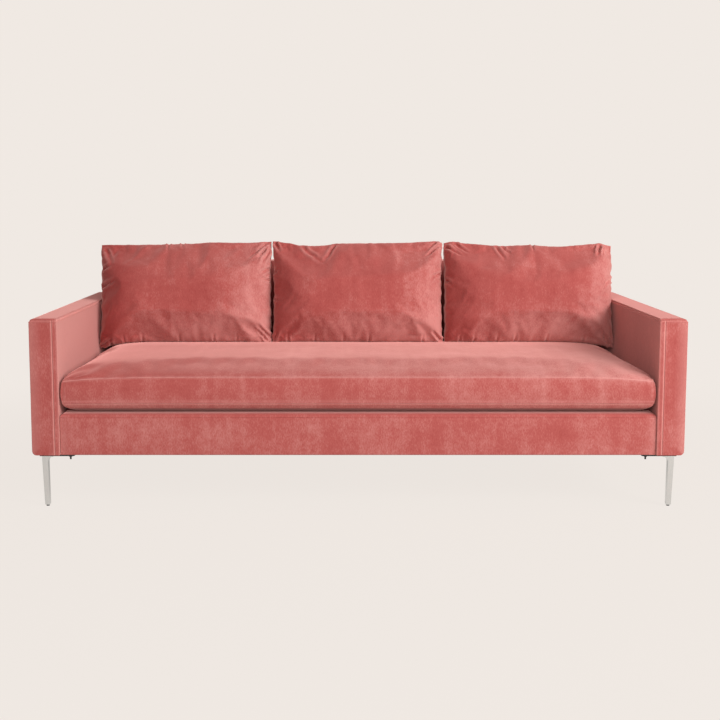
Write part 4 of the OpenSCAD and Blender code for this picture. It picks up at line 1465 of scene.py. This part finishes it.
def inflate(
    obj: bpy.types.Object,
    pinned: np.ndarray,
    pressure: float,
    slack: float,
    cap: float,
    axis: Sequence[float] = (0, 0, 1),
    spread: float = 0.3,
    last: int = 20,
) -> None:
    """Lets a cover swell on its filling in a cloth simulation, held at its seams.

    Args:
        obj: The cover.
        pinned: Which points the seams hold.
        pressure: How hard the filling presses.
        slack: How much larger the cloth is cut than its form.
        cap: Farthest that a point may move.
        axis: Direction across the cushion, along which the cloth moves freely.
        spread: Share that is kept of the movement along the seams' plane.
        last: Frames that are run.
    """
    before = coordinates(obj)
    group = obj.vertex_groups.new(name="seams")
    group.add(np.flatnonzero(pinned).tolist(), 1.0, "REPLACE")
    pick(obj)
    cloth = obj.modifiers.new("cloth", "CLOTH")
    for key, value in {**VELVET_CLOTH, "uniform_pressure_force": pressure, "shrink_min": -slack}.items():
        setattr(cloth.settings, key, value)
    cloth.settings.effector_weights.gravity = 0.0
    cloth.collision_settings.use_collision = False
    cloth.point_cache.frame_start, cloth.point_cache.frame_end = 1, last
    scene = bpy.context.scene
    for step in range(1, last + 1):
        scene.frame_set(step)
    bpy.ops.object.modifier_apply(modifier=cloth.name)
    scene.frame_set(1)
    moved = coordinates(obj) - before
    way = np.array(axis, np.float64)
    moved = np.outer(moved @ way, way) * (1 - spread) + moved * spread
    reach = np.linalg.norm(moved, axis=1)
    moved *= np.minimum(1, cap / np.maximum(reach, 1e-9))[:, None]
    set_coordinates(obj, before + moved)
    obj.vertex_groups.clear()


@dataclass
class SeatCushion:
    """The long seat cushion: a crowned top, a boxing between two seams and a flat underside."""

    half: float = 999.2 * MM
    front: float = -475.5 * MM
    rear: float = 302.5 * MM
    deck: float = 321 * MM
    lift: float = 0.4 * MM
    low_seam: float = 34 * MM
    top_seam: float = 126 * MM
    crown: float = 163 * MM
    droop: float = 16 * MM
    low_droop: float = 3.2 * MM
    bulge: float = 6 * MM
    corner: float = 4 * MM
    end_seam: float = 12.3 * MM
    end_run: float = 300 * MM
    front_run: float = 250 * MM
    rear_run: float = 340 * MM
    under_run: float = 60 * MM
    end_rise: tuple[float, float] = (4, 0.7)
    front_rise: tuple[float, float] = (3, 0.6)
    rear_rise: tuple[float, float] = (2, 0.7)
    under_rise: tuple[float, float] = (2.2, 0.8)
    stitch_drop: float = 9.5 * MM
    pressure: float = 1.2
    slack: float = 0.012
    cap: float = 5 * MM
    # Strength of the painted shade on the underside.
    painted_crevice_shade: float = 0.92
    near: tuple[float, ...] = (0, 0.9, 1.9, 3.2, 5, 8, 10.5, 11.7, 12.9, 14.1, 17, 22, 29, 38, 49)
    stride: float = 13 * MM

    @property
    def depth(self) -> float:
        """Depth of the top from seam to seam."""
        return self.rear - self.front

    def upper_seam(self, u: np.ndarray) -> np.ndarray:
        """Height of the upper seam."""
        return self.deck + self.top_seam - self.droop * np.abs(u) ** 8

    def lower_seam(self, u: np.ndarray) -> np.ndarray:
        """Height of the lower seam."""
        return self.deck + self.low_seam - self.low_droop * np.abs(u) ** 8

    def top(self, u: np.ndarray, v: np.ndarray) -> np.ndarray:
        """Height of the crowned top.

        Args:
            u: Share across, -1 to 1.
            v: Share from front to rear, -1 to 1.

        Returns:
            Heights in metres.
        """
        ends = rise((1 - np.abs(u)) * self.half, self.end_run, self.end_rise)
        fore = rise((v + 1) / 2 * self.depth, self.front_run, self.front_rise)
        aft = rise((1 - v) / 2 * self.depth, self.rear_run, self.rear_rise)
        seam = self.upper_seam(u)
        return seam + (self.deck + self.crown - seam) * lesser(ends, fore) * aft

    def height_at(self, x: np.ndarray, y: np.ndarray) -> np.ndarray:
        """Height of the seat under any place, for what rests on it.

        Args:
            x: Places across.
            y: Places from front to rear.

        Returns:
            Heights in metres.
        """
        u = np.clip(x / self.half, -1, 1)
        v = np.clip((y - self.front) / self.depth * 2 - 1, -1, 1)
        return self.top(u, v)

    def _plan(self, u: np.ndarray, v: np.ndarray, out: np.ndarray) -> tuple[np.ndarray, np.ndarray]:
        """Place in plan, with the corners drawn in, pushed out by the boxing's swell."""
        pull = self.corner * np.abs(u) ** 30 * np.abs(v) ** 14
        x = u * self.half - np.sign(u) * pull + np.where(np.abs(u) > RIM_SHARE, np.sign(u) * out, 0)
        y = self.front + (v + 1) / 2 * self.depth - np.sign(v) * pull
        return x, y + np.where(np.abs(v) > RIM_SHARE, np.sign(v) * out, 0)

    def _top_points(self, u: np.ndarray, v: np.ndarray) -> np.ndarray:
        """Points of the top."""
        x, y = self._plan(u, v, np.zeros_like(u))
        return np.stack([x, y, self.top(u, v)], 1)

    def _low_points(self, u: np.ndarray, v: np.ndarray) -> np.ndarray:
        """Points of the underside, flat but for its rim."""
        x, y = self._plan(u, v, np.zeros_like(u))
        ends = rise((1 - np.abs(u)) * self.half, self.under_run, self.under_rise)
        sides = rise((1 - np.abs(v)) / 2 * self.depth, self.under_run, self.under_rise)
        seam = self.lower_seam(u)
        return np.stack([x, y, seam + (self.deck + self.lift - seam) * lesser(ends, sides)], 1)

    def _rim(self, us: np.ndarray, vs: np.ndarray) -> np.ndarray:
        """Stations round the edge from the front left corner, closed."""
        front = [(u, -1.0) for u in us]
        right = [(1.0, v) for v in vs[1:]]
        rear = [(u, 1.0) for u in us[::-1][1:]]
        left = [(-1.0, v) for v in vs[::-1][1:]]
        return np.array(front + right + rear + left)

    def rim_line(self, us: np.ndarray, vs: np.ndarray, share: float, drop: float = 0.0) -> np.ndarray:
        """A line round the boxing, at a share of its height from the upper seam.

        Args:
            us: Stations across.
            vs: Stations along.
            share: 0 at the upper seam, 1 at the lower one.
            drop: Distance below that height.

        Returns:
            The line's points.
        """
        rim = self._rim(us, vs)
        u, v = rim[:, 0], rim[:, 1]
        top, low = self.upper_seam(u), self.lower_seam(u)
        z = top + (low - top) * share - drop
        puff = self.bulge * np.sin(np.pi * np.clip((top - z) / (top - low), 0, 1)) ** 0.7
        x, y = self._plan(u, v, puff)
        return np.stack([x, y, z], 1)

    def build(self, shop: Workshop) -> bpy.types.Object:
        """Makes the cushion, its foam and its stitches.

        Args:
            shop: Where pieces are placed.

        Returns:
            The cushion.
        """
        near = np.array(self.near) * MM
        us = steps(2 * self.half, near, self.stride) / self.half - 1
        vs = steps(self.depth, near, self.stride) / self.depth * 2 - 1
        rim = self._rim(us, vs)
        rows = steps(1.0, (0, 0.011, 0.022, 0.036, 0.055, 0.085, 0.13), 0.065)

        def band_points(k: np.ndarray, share: np.ndarray) -> np.ndarray:
            """Points of the boxing, at shares of its height."""
            at = rim[np.rint(k).astype(int)]
            u, v = at[:, 0], at[:, 1]
            x, y = self._plan(u, v, self.bulge * np.sin(np.pi * share) ** 0.7)
            top, low = self.upper_seam(u), self.lower_seam(u)
            return np.stack([x, y, top + (low - top) * share], 1)

        top = grid_piece("top", us, vs, self._top_points)
        low = grid_piece("low", us, vs, self._low_points)
        band = grid_piece("band", np.arange(len(rim), dtype=float), rows, band_points)
        made = join("seat_cushion", [top, band, low], 0.05 * MM)
        points = coordinates(made)
        crest = points[:, 2] > self.upper_seam(points[:, 0] / self.half) + 0.3 * MM
        inflate(made, ~crest, self.pressure, self.slack, self.cap)
        self._wrinkle(made, us, vs)
        smooth(made, 60)
        shop.place(made, Slot.VELVET, Body.SEAT, ["seat_cushion_cover"])
        self._foam(shop)
        self._sew(shop, us, vs)
        return made

    def _wrinkle(self, made: bpy.types.Object, us: np.ndarray, vs: np.ndarray) -> None:
        """Presses seams, puckers and soft unevenness into the cushion, paints shade under it and paints light
        on its front and top.

        Args:
            made: The cushion.
            us: Stations across.
            vs: Stations along.
        """
        skin = Skin(made)
        x, y, z = skin.points.T
        u = x / self.half
        above = z - self.upper_seam(u)
        below = self.upper_seam(u) - z
        facing = np.clip(-skin.normals[:, 1], 0, 1)
        soft = grain(skin.points, 3.5, 21.0) * blend_step(above, 0, 0.02)
        skin.push(1.6 * MM * (soft - 0.4))
        fore = np.exp(-np.maximum(y - self.front, 0) / 0.035) * blend_step(above, -0.001, 0.004)
        skin.push(1.0 * MM * ripple(x * 9, 4.5, 23.0) * fore)
        right = 0.25 + 1.6 * blend_step(u, 0.45, 0.8) * blend_step(-u, -1.0, -0.93)
        slope = ripple((x + 0.35 * below) * 11, 4.0, 29.0)
        hang = np.exp(-np.maximum(below, 0) / 0.03) * blend_step(below, 0.001, 0.008) * facing
        skin.push(1.5 * MM * slope * hang * right)
        waves = grain(np.stack([x, y, z * 0.3], 1), 9.0, 31.0, 2)
        skin.push(0.7 * MM * (waves - 0.3) * facing * blend_step(below, 0.01, 0.03))
        skin.settle()
        seam, topstitch = (1.3 * MM, 1.6 * MM), (0.8 * MM, 1.2 * MM)
        skin.seam(self.rim_line(us, vs, 0.0), *seam, 1.0)
        skin.seam(self.rim_line(us, vs, 1.0), *seam, 0.8)
        skin.seam(self.rim_line(us, vs, 1.0, -self.stitch_drop), *topstitch, 0.8)
        for side in (-1.0, 1.0):
            end, fore = side * (self.half - self.end_seam), self.front - self.bulge * 0.7
            low, high = self.lower_seam(end / self.half), self.upper_seam(end / self.half)
            skin.seam(line((end, fore, low), (end, fore, high)), *topstitch, 0.7)
        skin.points[:, 2] = np.maximum(skin.points[:, 2], self.deck + 0.35 * MM)
        # Painted shade on the underside and its rounding, close to the deck.
        under = blend_step(self.deck + 20 * MM - skin.points[:, 2], 0, 8 * MM)
        skin.wear_sheen_and_shade = np.where(under > 0, -self.painted_crevice_shade * under, skin.wear_sheen_and_shade)
        up = np.clip(skin.normals[:, 2], 0, 1)
        # Painted light on the front, and on the top from the left third rightwards, most at the right end.
        skin.painted_light = 0.04 * facing + up * (0.3 * blend_step(u, -0.8, 0.0) + 0.3 * blend_step(u, 0.55, 0.9))
        skin.finish()

    def _foam(self, shop: Workshop) -> None:
        """The foam core inside, with soft edges.

        Args:
            shop: Where pieces are placed.
        """
        low, high = box_of("seat_foam_core")
        foam = box_block("seat_foam", low, high)
        with editing(foam, "SELECT"):
            bpy.ops.mesh.bevel(offset=12 * MM, segments=3)
        smooth(foam, 40)
        shop.place(foam, Slot.FOAM, Body.SEAT, ["seat_foam_core"])

    def _sew(self, shop: Workshop, us: np.ndarray, vs: np.ndarray) -> None:
        """The thread along the lower topstitch, round all four sides.

        Args:
            shop: Where pieces are placed.
            us: Stations across.
            vs: Stations along.
        """
        path = self.rim_line(us, vs, 1.0, -self.stitch_drop)
        centre = np.array([0.0, (self.front + self.rear) / 2, 0.0])
        side = np.abs(path[:, 0]) / self.half > np.abs(path[:, 1] - centre[1]) / (self.depth / 2)
        out = np.where(side[:, None], [1.0, 0, 0] * np.sign(path), [0, 1.0, 0] * np.sign(path - centre))
        thread = Stitches().make("seat_stitches", [(path - out * 0.7 * MM, out)])
        shop.place(thread, Slot.VELVET, Body.SEAT)


@dataclass(frozen=True)
class Fold:
    """A fold on a cushion's front, from one place to another in shares of its width and height."""

    start: tuple[float, float]
    end: tuple[float, float]
    depth: float = 5.0
    width: float = 8.0


@dataclass
class BackCushion:
    """One feather-filled back cushion: two panels sewn at the rim, with the folds it has settled into."""

    name: str
    body: Body
    outline: Sequence[tuple[float, float]]
    base: Sequence[tuple[float, float]]
    folds: Sequence[Fold]
    puckers: Sequence[float]
    seed: float
    front_full: float = 82 * MM
    rear_full: float = 184 * MM
    lean: float = math.radians(9)
    side_draw: float = 4 * MM
    side_wave: float = 2.4 * MM
    top_draw: float = 6 * MM
    low_round: tuple[float, float] = (4.5, 0.5)
    top_round: tuple[float, float] = (2.6, 0.55)
    side_round: tuple[float, float] = (6, 0.5)
    belly: float = 0.08
    lump: float = 4.5 * MM
    gather_depth: float = 3.2 * MM
    # Painted light on the lower part and the right side, painted shade on the left side.
    low_painted_light: float = 0.30
    right_painted_light: float = 0.20
    left_painted_shade: float = 0.15
    across: int = 96
    along: int = 66
    cap: float = 34 * MM
    pressure: float = 1.0
    slack: float = 0.035
    gather: float = 30 * MM
    fold_deep: float = 1.5 * MM
    fold_wide: float = 0.68 * MM
    fold_roll: float = 0.8
    pucker: tuple[float, float] = (5 * MM, 4.5 * MM)
    sunk: float = 1.2 * MM
    rest_gap: float = 2.2 * MM
    lean_gap: float = 0.6 * MM
    half: float = field(init=False)
    middle: float = field(init=False)
    tall: float = field(init=False)
    seam_y: float = field(init=False)
    seam_z: float = field(init=False)

    def __post_init__(self) -> None:
        """Reads the cushion's place from its CAD nodes."""
        low, high = box_of(f"{self.name}_cushion_front")
        rear, _ = box_of(f"{self.name}_cushion_rear")
        self.half, self.middle = (high[0] - low[0]) / 2, (high[0] + low[0]) / 2
        self.tall = (high[2] - low[2]) / math.cos(self.lean)
        self.seam_y, self.seam_z = rear[1], low[2]

    def shape(self, u: np.ndarray, v: np.ndarray, side: float) -> np.ndarray:
        """Points of the plump cushion.

        Args:
            u: Share across, -1 to 1.
            v: Share from the lower to the upper seam, -1 to 1.
            side: -1 on the front panel, 1 on the rear one.

        Returns:
            Points, n by 3.
        """
        full = -self.front_full if side < 0 else self.rear_full
        tall = np.where(v < 0, plump(v, self.low_round), plump(v, self.top_round))
        wave = np.sin(19 * v + 2 * self.seed + u) * np.sin(8 * v + 1.3 * self.seed) * (1 - v**4)
        draw = self.side_draw * (1 - v * v) + self.side_wave * wave
        x = self.half * u - np.sign(u) * draw * np.abs(u) ** 5
        z = self.tall * (v + 1) / 2 - np.where(v > 0, self.top_draw * (1 - u * u) * np.abs(v) ** 3, 0)
        lift, sag = (np.interp(u, *np.array(places).T) * MM for places in (self.outline, self.base))
        z = z + (lift + self.top_draw * (1 - u * u)) * blend_step(v, -0.2, 1.0)
        z = z + sag * blend_step(-v, 0.2, 1.0)
        y = full * (plump(u, self.side_round) * tall * (1 - self.belly * v))
        c, s = math.cos(self.lean), math.sin(self.lean)
        return np.stack([self.middle + x, self.seam_y + y * c + z * s, self.seam_z + z * c - y * s], 1)

    def build(self, shop: Workshop, seat: SeatCushion, back: BackUpholstery) -> bpy.types.Object:
        """Makes the cushion.

        Args:
            shop: Where pieces are placed.
            seat: What it rests on.
            back: What it leans on.

        Returns:
            The cushion.
        """
        t, r = np.linspace(-1, 1, self.across + 1), np.linspace(-1, 1, self.along + 1)
        us, vs = 0.45 * t + 0.55 * np.sin(t * np.pi / 2), 0.45 * r + 0.55 * np.sin(r * np.pi / 2)
        panels = [
            grid_piece("panel", us, vs, lambda u, v, s=side: self.shape(u, v, s), side=side)
            for side in (-1.0, 1.0)
        ]
        made = join(self.body.value, panels)
        u, v = read_mark(made, "across"), read_mark(made, "along")
        rim = (np.abs(u) > RIM_SHARE) | (np.abs(v) > RIM_SHARE)
        through = (0, math.cos(self.lean), -math.sin(self.lean))
        inflate(made, rim, self.pressure, self.slack, self.cap, through)
        apply_modifier(made, "SUBSURF", levels=1, render_levels=1)
        self._crease(made)
        self._finish_surface(made, seat, back)
        smooth(made, 70)
        nodes = [f"{self.name}_cushion_front", f"{self.name}_cushion_rear", f"filling_{self.name}"]
        shop.place(made, Slot.VELVET, self.body, nodes)
        return made

    def _crease(self, made: bpy.types.Object) -> None:
        """Presses the folds and the puckers of the seams into the cushion, and paints light on its lower and
        right parts and shade on its left side.

        Args:
            made: The cushion.
        """
        skin = Skin(made)
        u, v, side = (read_mark(made, key) for key in ("across", "along", "side"))
        front = np.flatnonzero(side <= 0)

        def locate(at: Sequence[float]) -> np.ndarray:
            """The front's point nearest to a place in shares."""
            away = (u[front] - at[0]) ** 2 * 1.6 + (v[front] - at[1]) ** 2
            return skin.points[front[np.argmin(away)]]

        lump = grain(skin.points, 5.0, self.seed)
        inside = (1 - np.abs(u) ** 4) * (1 - np.abs(v) ** 4)
        skin.push(self.lump * lump * inside)
        skin.settle()
        edge_side, edge_top = (1 - np.abs(u)) * self.half, (1 - np.abs(v)) * self.tall / 2
        run_top = np.stack([skin.points[:, 0] * 7.0 + side, v * 0.3, u * 0], 1)
        run_side = np.stack([v * 0.2 * 7.0 + side, u * 0.3, u * 0], 1)
        reach = self.gather
        runs = ((run_top, 3, edge_top, edge_side), (run_side, 5, edge_side, edge_top))
        gathers = sum(
            grain(run, 4.0, self.seed + more, 2) * np.exp(-near / reach) * blend_step(far, 0, reach)
            for run, more, near, far in runs
        )
        skin.push(self.gather_depth * gathers * blend_step(np.minimum(edge_side, edge_top), 0, 4 * MM))
        for fold in self.folds:
            stations = np.linspace(0, 1, 9)
            ends = np.array(fold.start), np.array(fold.end)
            path = np.array([locate(ends[0] + (ends[1] - ends[0]) * k) for k in stations])
            skin.fold(path, fold.depth * self.fold_deep, fold.width * self.fold_wide, self.fold_roll)
        for spot in self.puckers:
            path = np.array([locate((spot, w)) for w in (-1.0, -0.95, -0.90, -0.84)])
            skin.fold(path, *self.pucker)
        # Painted light on the lower part and the right side, painted shade on the left side.
        skin.painted_light = self.low_painted_light * blend_step(-v, 0.2, 0.8) * blend_step(u, -0.9, 0.1)
        skin.painted_light += self.right_painted_light * blend_step(u, 0.3, 0.95)
        skin.painted_light -= self.left_painted_shade * blend_step(-u, 0.4, 1.0)
        skin.finish()

    def _finish_surface(self, made: bpy.types.Object, seat: SeatCushion, back: BackUpholstery) -> None:
        """Sinks the rim's seam with a painted sheen along it, roughens the pile a little and keeps the
        cushion clear of its neighbours.

        Args:
            made: The cushion.
            seat: What it rests on.
            back: What it leans on.
        """
        skin = Skin(made)
        u, v = read_mark(made, "across"), read_mark(made, "along")
        rim = np.minimum((1 - np.abs(u)) * self.half, (1 - np.abs(v)) * self.tall / 2)
        skin.push(0.5 * MM * grain(skin.points, 40.0, self.seed + 9, 2))
        skin.push(-self.sunk * bell(rim, 1.5 * MM))
        # Painted sheen along the rim's seam.
        skin.lighten(0.8 * bell(rim, 2.6 * MM))
        x, y, z = skin.points.T
        reach = self.half + 0.9 * MM
        x[:] = self.middle + np.clip(x - self.middle, -reach, reach)
        y[:] = np.minimum(y, back.face_at(z) - self.lean_gap)
        z[:] = np.maximum(z, seat.height_at(x, y) + self.rest_gap)
        skin.finish()


LEFT_CUSHION = BackCushion(
    name="left",
    body=Body.LEFT,
    seed=1.0,
    outline=(
        (-1, -14), (-0.93, -13), (-0.8, -12), (-0.42, -12), (-0.22, -11), (-0.2, -14), (-0.17, -10),
        (-0.06, -9), (-0.04, -12), (-0.01, -8), (0.05, -8), (0.28, -3), (0.74, -4), (0.9, -1),
        (0.97, 0), (1, -1),
    ),
    base=((-1, -20), (-0.92, -18), (-0.82, -11), (-0.68, -4), (-0.5, 0), (1, 0)),
    # Stronger painted shade on the left side.
    left_painted_shade=0.6,
    folds=(
        Fold((0.96, 0.92), (0.73, 0.59), -5, 9),
        Fold((0.94, 0.86), (0.84, 0.63), 7, 7),
        Fold((0.97, 0.80), (0.86, 0.38), 5, 9),
        Fold((0.985, 0.45), (0.84, 0.29), 6, 8),
        Fold((0.985, 0.21), (0.89, 0.24), 5, 7),
        Fold((0.985, -0.91), (0.84, -0.64), 6, 9),
        Fold((0.94, -0.95), (0.85, -0.75), 5, 7),
        Fold((-0.96, 0.45), (-0.84, 0.53), 5, 8),
        Fold((-0.975, 0.09), (-0.78, 0.21), 7, 8),
        Fold((-0.93, 0.89), (-0.82, 0.52), 3, 9),
        Fold((-0.98, -0.98), (-0.83, -0.88), 6, 8),
        Fold((-0.2, 0.99), (-0.21, 0.84), 4, 6),
        Fold((-0.04, 0.99), (-0.03, 0.86), 4, 6),
    ),
    puckers=(-0.85, -0.70, -0.49, -0.05, 0.33, 0.60),
)
MIDDLE_CUSHION = BackCushion(
    name="middle",
    body=Body.MIDDLE,
    seed=2.0,
    outline=(
        (-1, -1), (-0.97, 0), (-0.8, -6), (-0.68, -16), (-0.6, -17), (-0.45, -16), (-0.2, -7), (0.26, -6),
        (0.62, -3), (0.85, 1), (0.95, 2), (0.98, -3), (1, -6),
    ),
    base=((-1, 0), (1, 0)),
    folds=(
        Fold((-0.64, 0.96), (-0.39, 0.58), 4.5, 10),
        Fold((-0.27, 0.97), (-0.405, 0.59), 4, 9),
        Fold((0.98, 0.92), (0.775, 0.66), 6, 8),
        Fold((0.96, 0.97), (0.825, 0.80), -4, 7),
        Fold((0.985, 0.35), (0.84, 0.22), 6, 8),
        Fold((0.98, -0.97), (0.86, -0.78), 6, 8),
        Fold((-0.99, 0.35), (-0.94, 0.43), 5, 7),
        Fold((-0.99, -0.16), (-0.93, -0.19), 5, 7),
        Fold((-0.99, -0.97), (-0.93, -0.75), 5, 8),
        Fold((-0.97, 0.98), (-0.91, 0.77), 5, 8),
    ),
    puckers=(-0.96, -0.81, -0.50, -0.17, 0.14, 0.76),
)
RIGHT_CUSHION = BackCushion(
    name="right",
    body=Body.RIGHT,
    seed=3.0,
    outline=(
        (-1, -7), (-0.97, -5), (-0.92, -2), (-0.69, -7), (-0.33, -18), (-0.1, -14), (0.03, -14), (0.06, -18),
        (0.09, -14), (0.14, -16), (0.375, -20), (0.73, -10), (0.87, -9), (0.96, -16), (1, -18),
    ),
    base=((-1, 0), (0.4, 0), (0.62, -4), (0.8, -10), (0.93, -17), (1, -19)),
    folds=(
        Fold((-0.97, 0.89), (-0.79, 0.72), 6, 8),
        Fold((-0.86, 0.97), (-0.70, 0.80), 5, 8),
        Fold((-0.37, 0.97), (-0.28, 0.65), 5, 8),
        Fold((-0.30, 0.97), (-0.215, 0.79), 4, 7),
        Fold((0.06, 0.99), (0.06, 0.84), 4, 6),
        Fold((0.85, 0.95), (0.80, 0.70), 6, 8),
        Fold((0.88, 0.94), (0.84, 0.77), -4, 6),
        Fold((0.99, 0.25), (0.85, 0.11), 6, 8),
        Fold((0.98, -0.98), (0.81, -0.72), 7, 9),
        Fold((0.99, -0.93), (0.91, -0.55), 5, 8),
        Fold((-0.985, 0.24), (-0.91, 0.11), 6, 8),
    ),
    puckers=(-0.82, -0.65, -0.38, -0.16, 0.21, 0.64),
)


# Studio


@dataclass(frozen=True)
class Lamp:
    """One soft lamp, aimed at a point."""

    name: str
    place: tuple[float, float, float]
    aim: tuple[float, float, float]
    size: tuple[float, float]
    watts: float
    colour: Colour = (1.0, 1.0, 1.0)

    def build(self) -> None:
        """Hangs the lamp, unseen by the camera."""
        data = bpy.data.lights.new(self.name, "AREA")
        data.shape = "RECTANGLE"
        data.size, data.size_y = self.size
        data.energy = self.watts
        data.color = self.colour
        lamp = into_scene(self.name, data)
        lamp.location = self.place
        way = Vector(self.aim) - Vector(self.place)
        lamp.rotation_euler = way.to_track_quat("-Z", "Y").to_euler()
        lamp.visible_camera = False


@dataclass(frozen=True)
class Studio:
    """Pale floor and background, soft lamps and the camera of the photograph."""

    paper: Colour = (0.871, 0.815, 0.768)
    ambient: float = 0.24
    ambient_tint: Colour = (1.0, 0.87, 0.83)
    floor_share: float = 0.05
    floor_albedo: float = 0.80
    gloss_share: float = 0.55
    floor_near: float = 1.4
    floor_far: float = 2.8
    camera_place: tuple[float, float, float] = (-0.043, -4.0025, 1.061)
    camera_tilt: float = 5.68
    lens: float = 53.2
    shift: tuple[float, float] = (0.02028, -0.0847)
    lamps: tuple[Lamp, ...] = (
        Lamp("key", (4.9, -3.7, 3.6), (0.0, 0.0, 0.5), (3.6, 2.8), 430.0),
        Lamp("front_fill", (-0.4, -4.8, 2.0), (0.0, 0.0, 0.45), (4.0, 2.0), 75.0),
        Lamp("rear_top", (0.6, 2.2, 3.2), (0.0, 0.0, 0.5), (3.0, 1.6), 8.0),
    )

    def build(self) -> None:
        """Sets everything up."""
        self._world()
        self._floor()
        self._camera()
        for lamp in self.lamps:
            lamp.build()
        bpy.context.scene.view_settings.view_transform = "Standard"

    def _world(self) -> None:
        """The world: the paper's colour for camera, gloss and glass, and a soft light for the rest."""
        tree = Tree("studio", world=True)
        light_inputs = {"Color": (*self.ambient_tint, 1.0), "Strength": self.ambient}
        light = tree.node("ShaderNodeBackground", {}, light_inputs)
        paper = tree.node("ShaderNodeBackground", {}, {"Color": (*self.paper, 1.0)})
        seen = tree.looking("Glossy", "Transmission")
        both = tree.node("ShaderNodeMixShader", {}, {0: seen, 1: light, 2: paper})
        bpy.context.scene.world = tree.close(both)

    def _floor(self) -> None:
        """A wide floor of the paper's colour that keeps a faint shadow close to the sofa."""
        deselect()
        bpy.ops.mesh.primitive_plane_add(size=80, location=(0, 20, 0))
        floor = bpy.context.object
        floor.name = "studio_floor"
        bpy.ops.object.transform_apply(location=True, rotation=True, scale=True)
        tree = Tree("paper_floor")
        away = tree.node("ShaderNodeVectorMath", {"operation": "LENGTH"}, {0: tree.place()}, "Value")
        inputs = {"Value": away, "From Min": self.floor_near, "From Max": self.floor_far}
        inputs |= {"To Min": 1.0, "To Max": 0.0}
        near = tree.node("ShaderNodeMapRange", {"interpolation_type": "SMOOTHSTEP"}, inputs)
        flat = tree.node("ShaderNodeEmission", {}, {"Color": (*self.paper, 1.0), "Strength": 1.0})
        paper = tuple(c * self.floor_albedo for c in self.paper)
        matt = tree.node("ShaderNodeBsdfDiffuse", {}, {"Color": (*paper, 1.0)})
        shown = tree.node("ShaderNodeMixShader", {}, {0: near * self.floor_share, 1: flat, 2: matt})
        gloss = tree.node("ShaderNodeLightPath", {}, {}, "Is Glossy Ray") * self.gloss_share
        seen = (tree.looking() + gloss).clamped()
        both = tree.node("ShaderNodeMixShader", {}, {0: seen, 1: matt, 2: shown})
        floor.data.materials.append(tree.close(both))

    def _camera(self) -> None:
        """The camera, measured from the photograph."""
        data = bpy.data.cameras.new("camera")
        data.sensor_width = 36.0
        data.lens = self.lens
        data.shift_x, data.shift_y = self.shift
        camera = into_scene("camera", data)
        camera.location = self.camera_place
        camera.rotation_euler = (math.radians(90 - self.camera_tilt), 0, 0)
        bpy.context.scene.camera = camera


def main() -> None:
    """Builds the sofa's looks on its frame."""
    logging.basicConfig(level=logging.INFO, format="%(name)s: %(message)s")
    deselect()
    Studio().build()
    wardrobe = Wardrobe()
    wardrobe.dress_nodes()
    shop = Workshop(wardrobe)
    # The left arm's inner face gets painted light and sheen, the right arm's a faint painted shade.
    for side, inner_painted_light, inner_painted_sheen in (("left", 0.35, 0.55), ("right", -0.05, 0.0)):
        ArmUpholstery(side, inner_painted_light=inner_painted_light, inner_painted_sheen=inner_painted_sheen).build(shop)
    RailUpholstery().build(shop)
    back = BackUpholstery()
    back.build(shop)
    OutsideBack().build(shop)
    Deck().build(shop)
    DustCloth().build(shop)
    for place in ("front_left", "front_right", "rear_left", "rear_right"):
        Leg(place).build(shop)
    seat = SeatCushion()
    seat.build(shop)
    for cushion in (LEFT_CUSHION, MIDDLE_CUSHION, RIGHT_CUSHION):
        cushion.build(shop, seat, back)


if __name__ == "__main__":
    main()
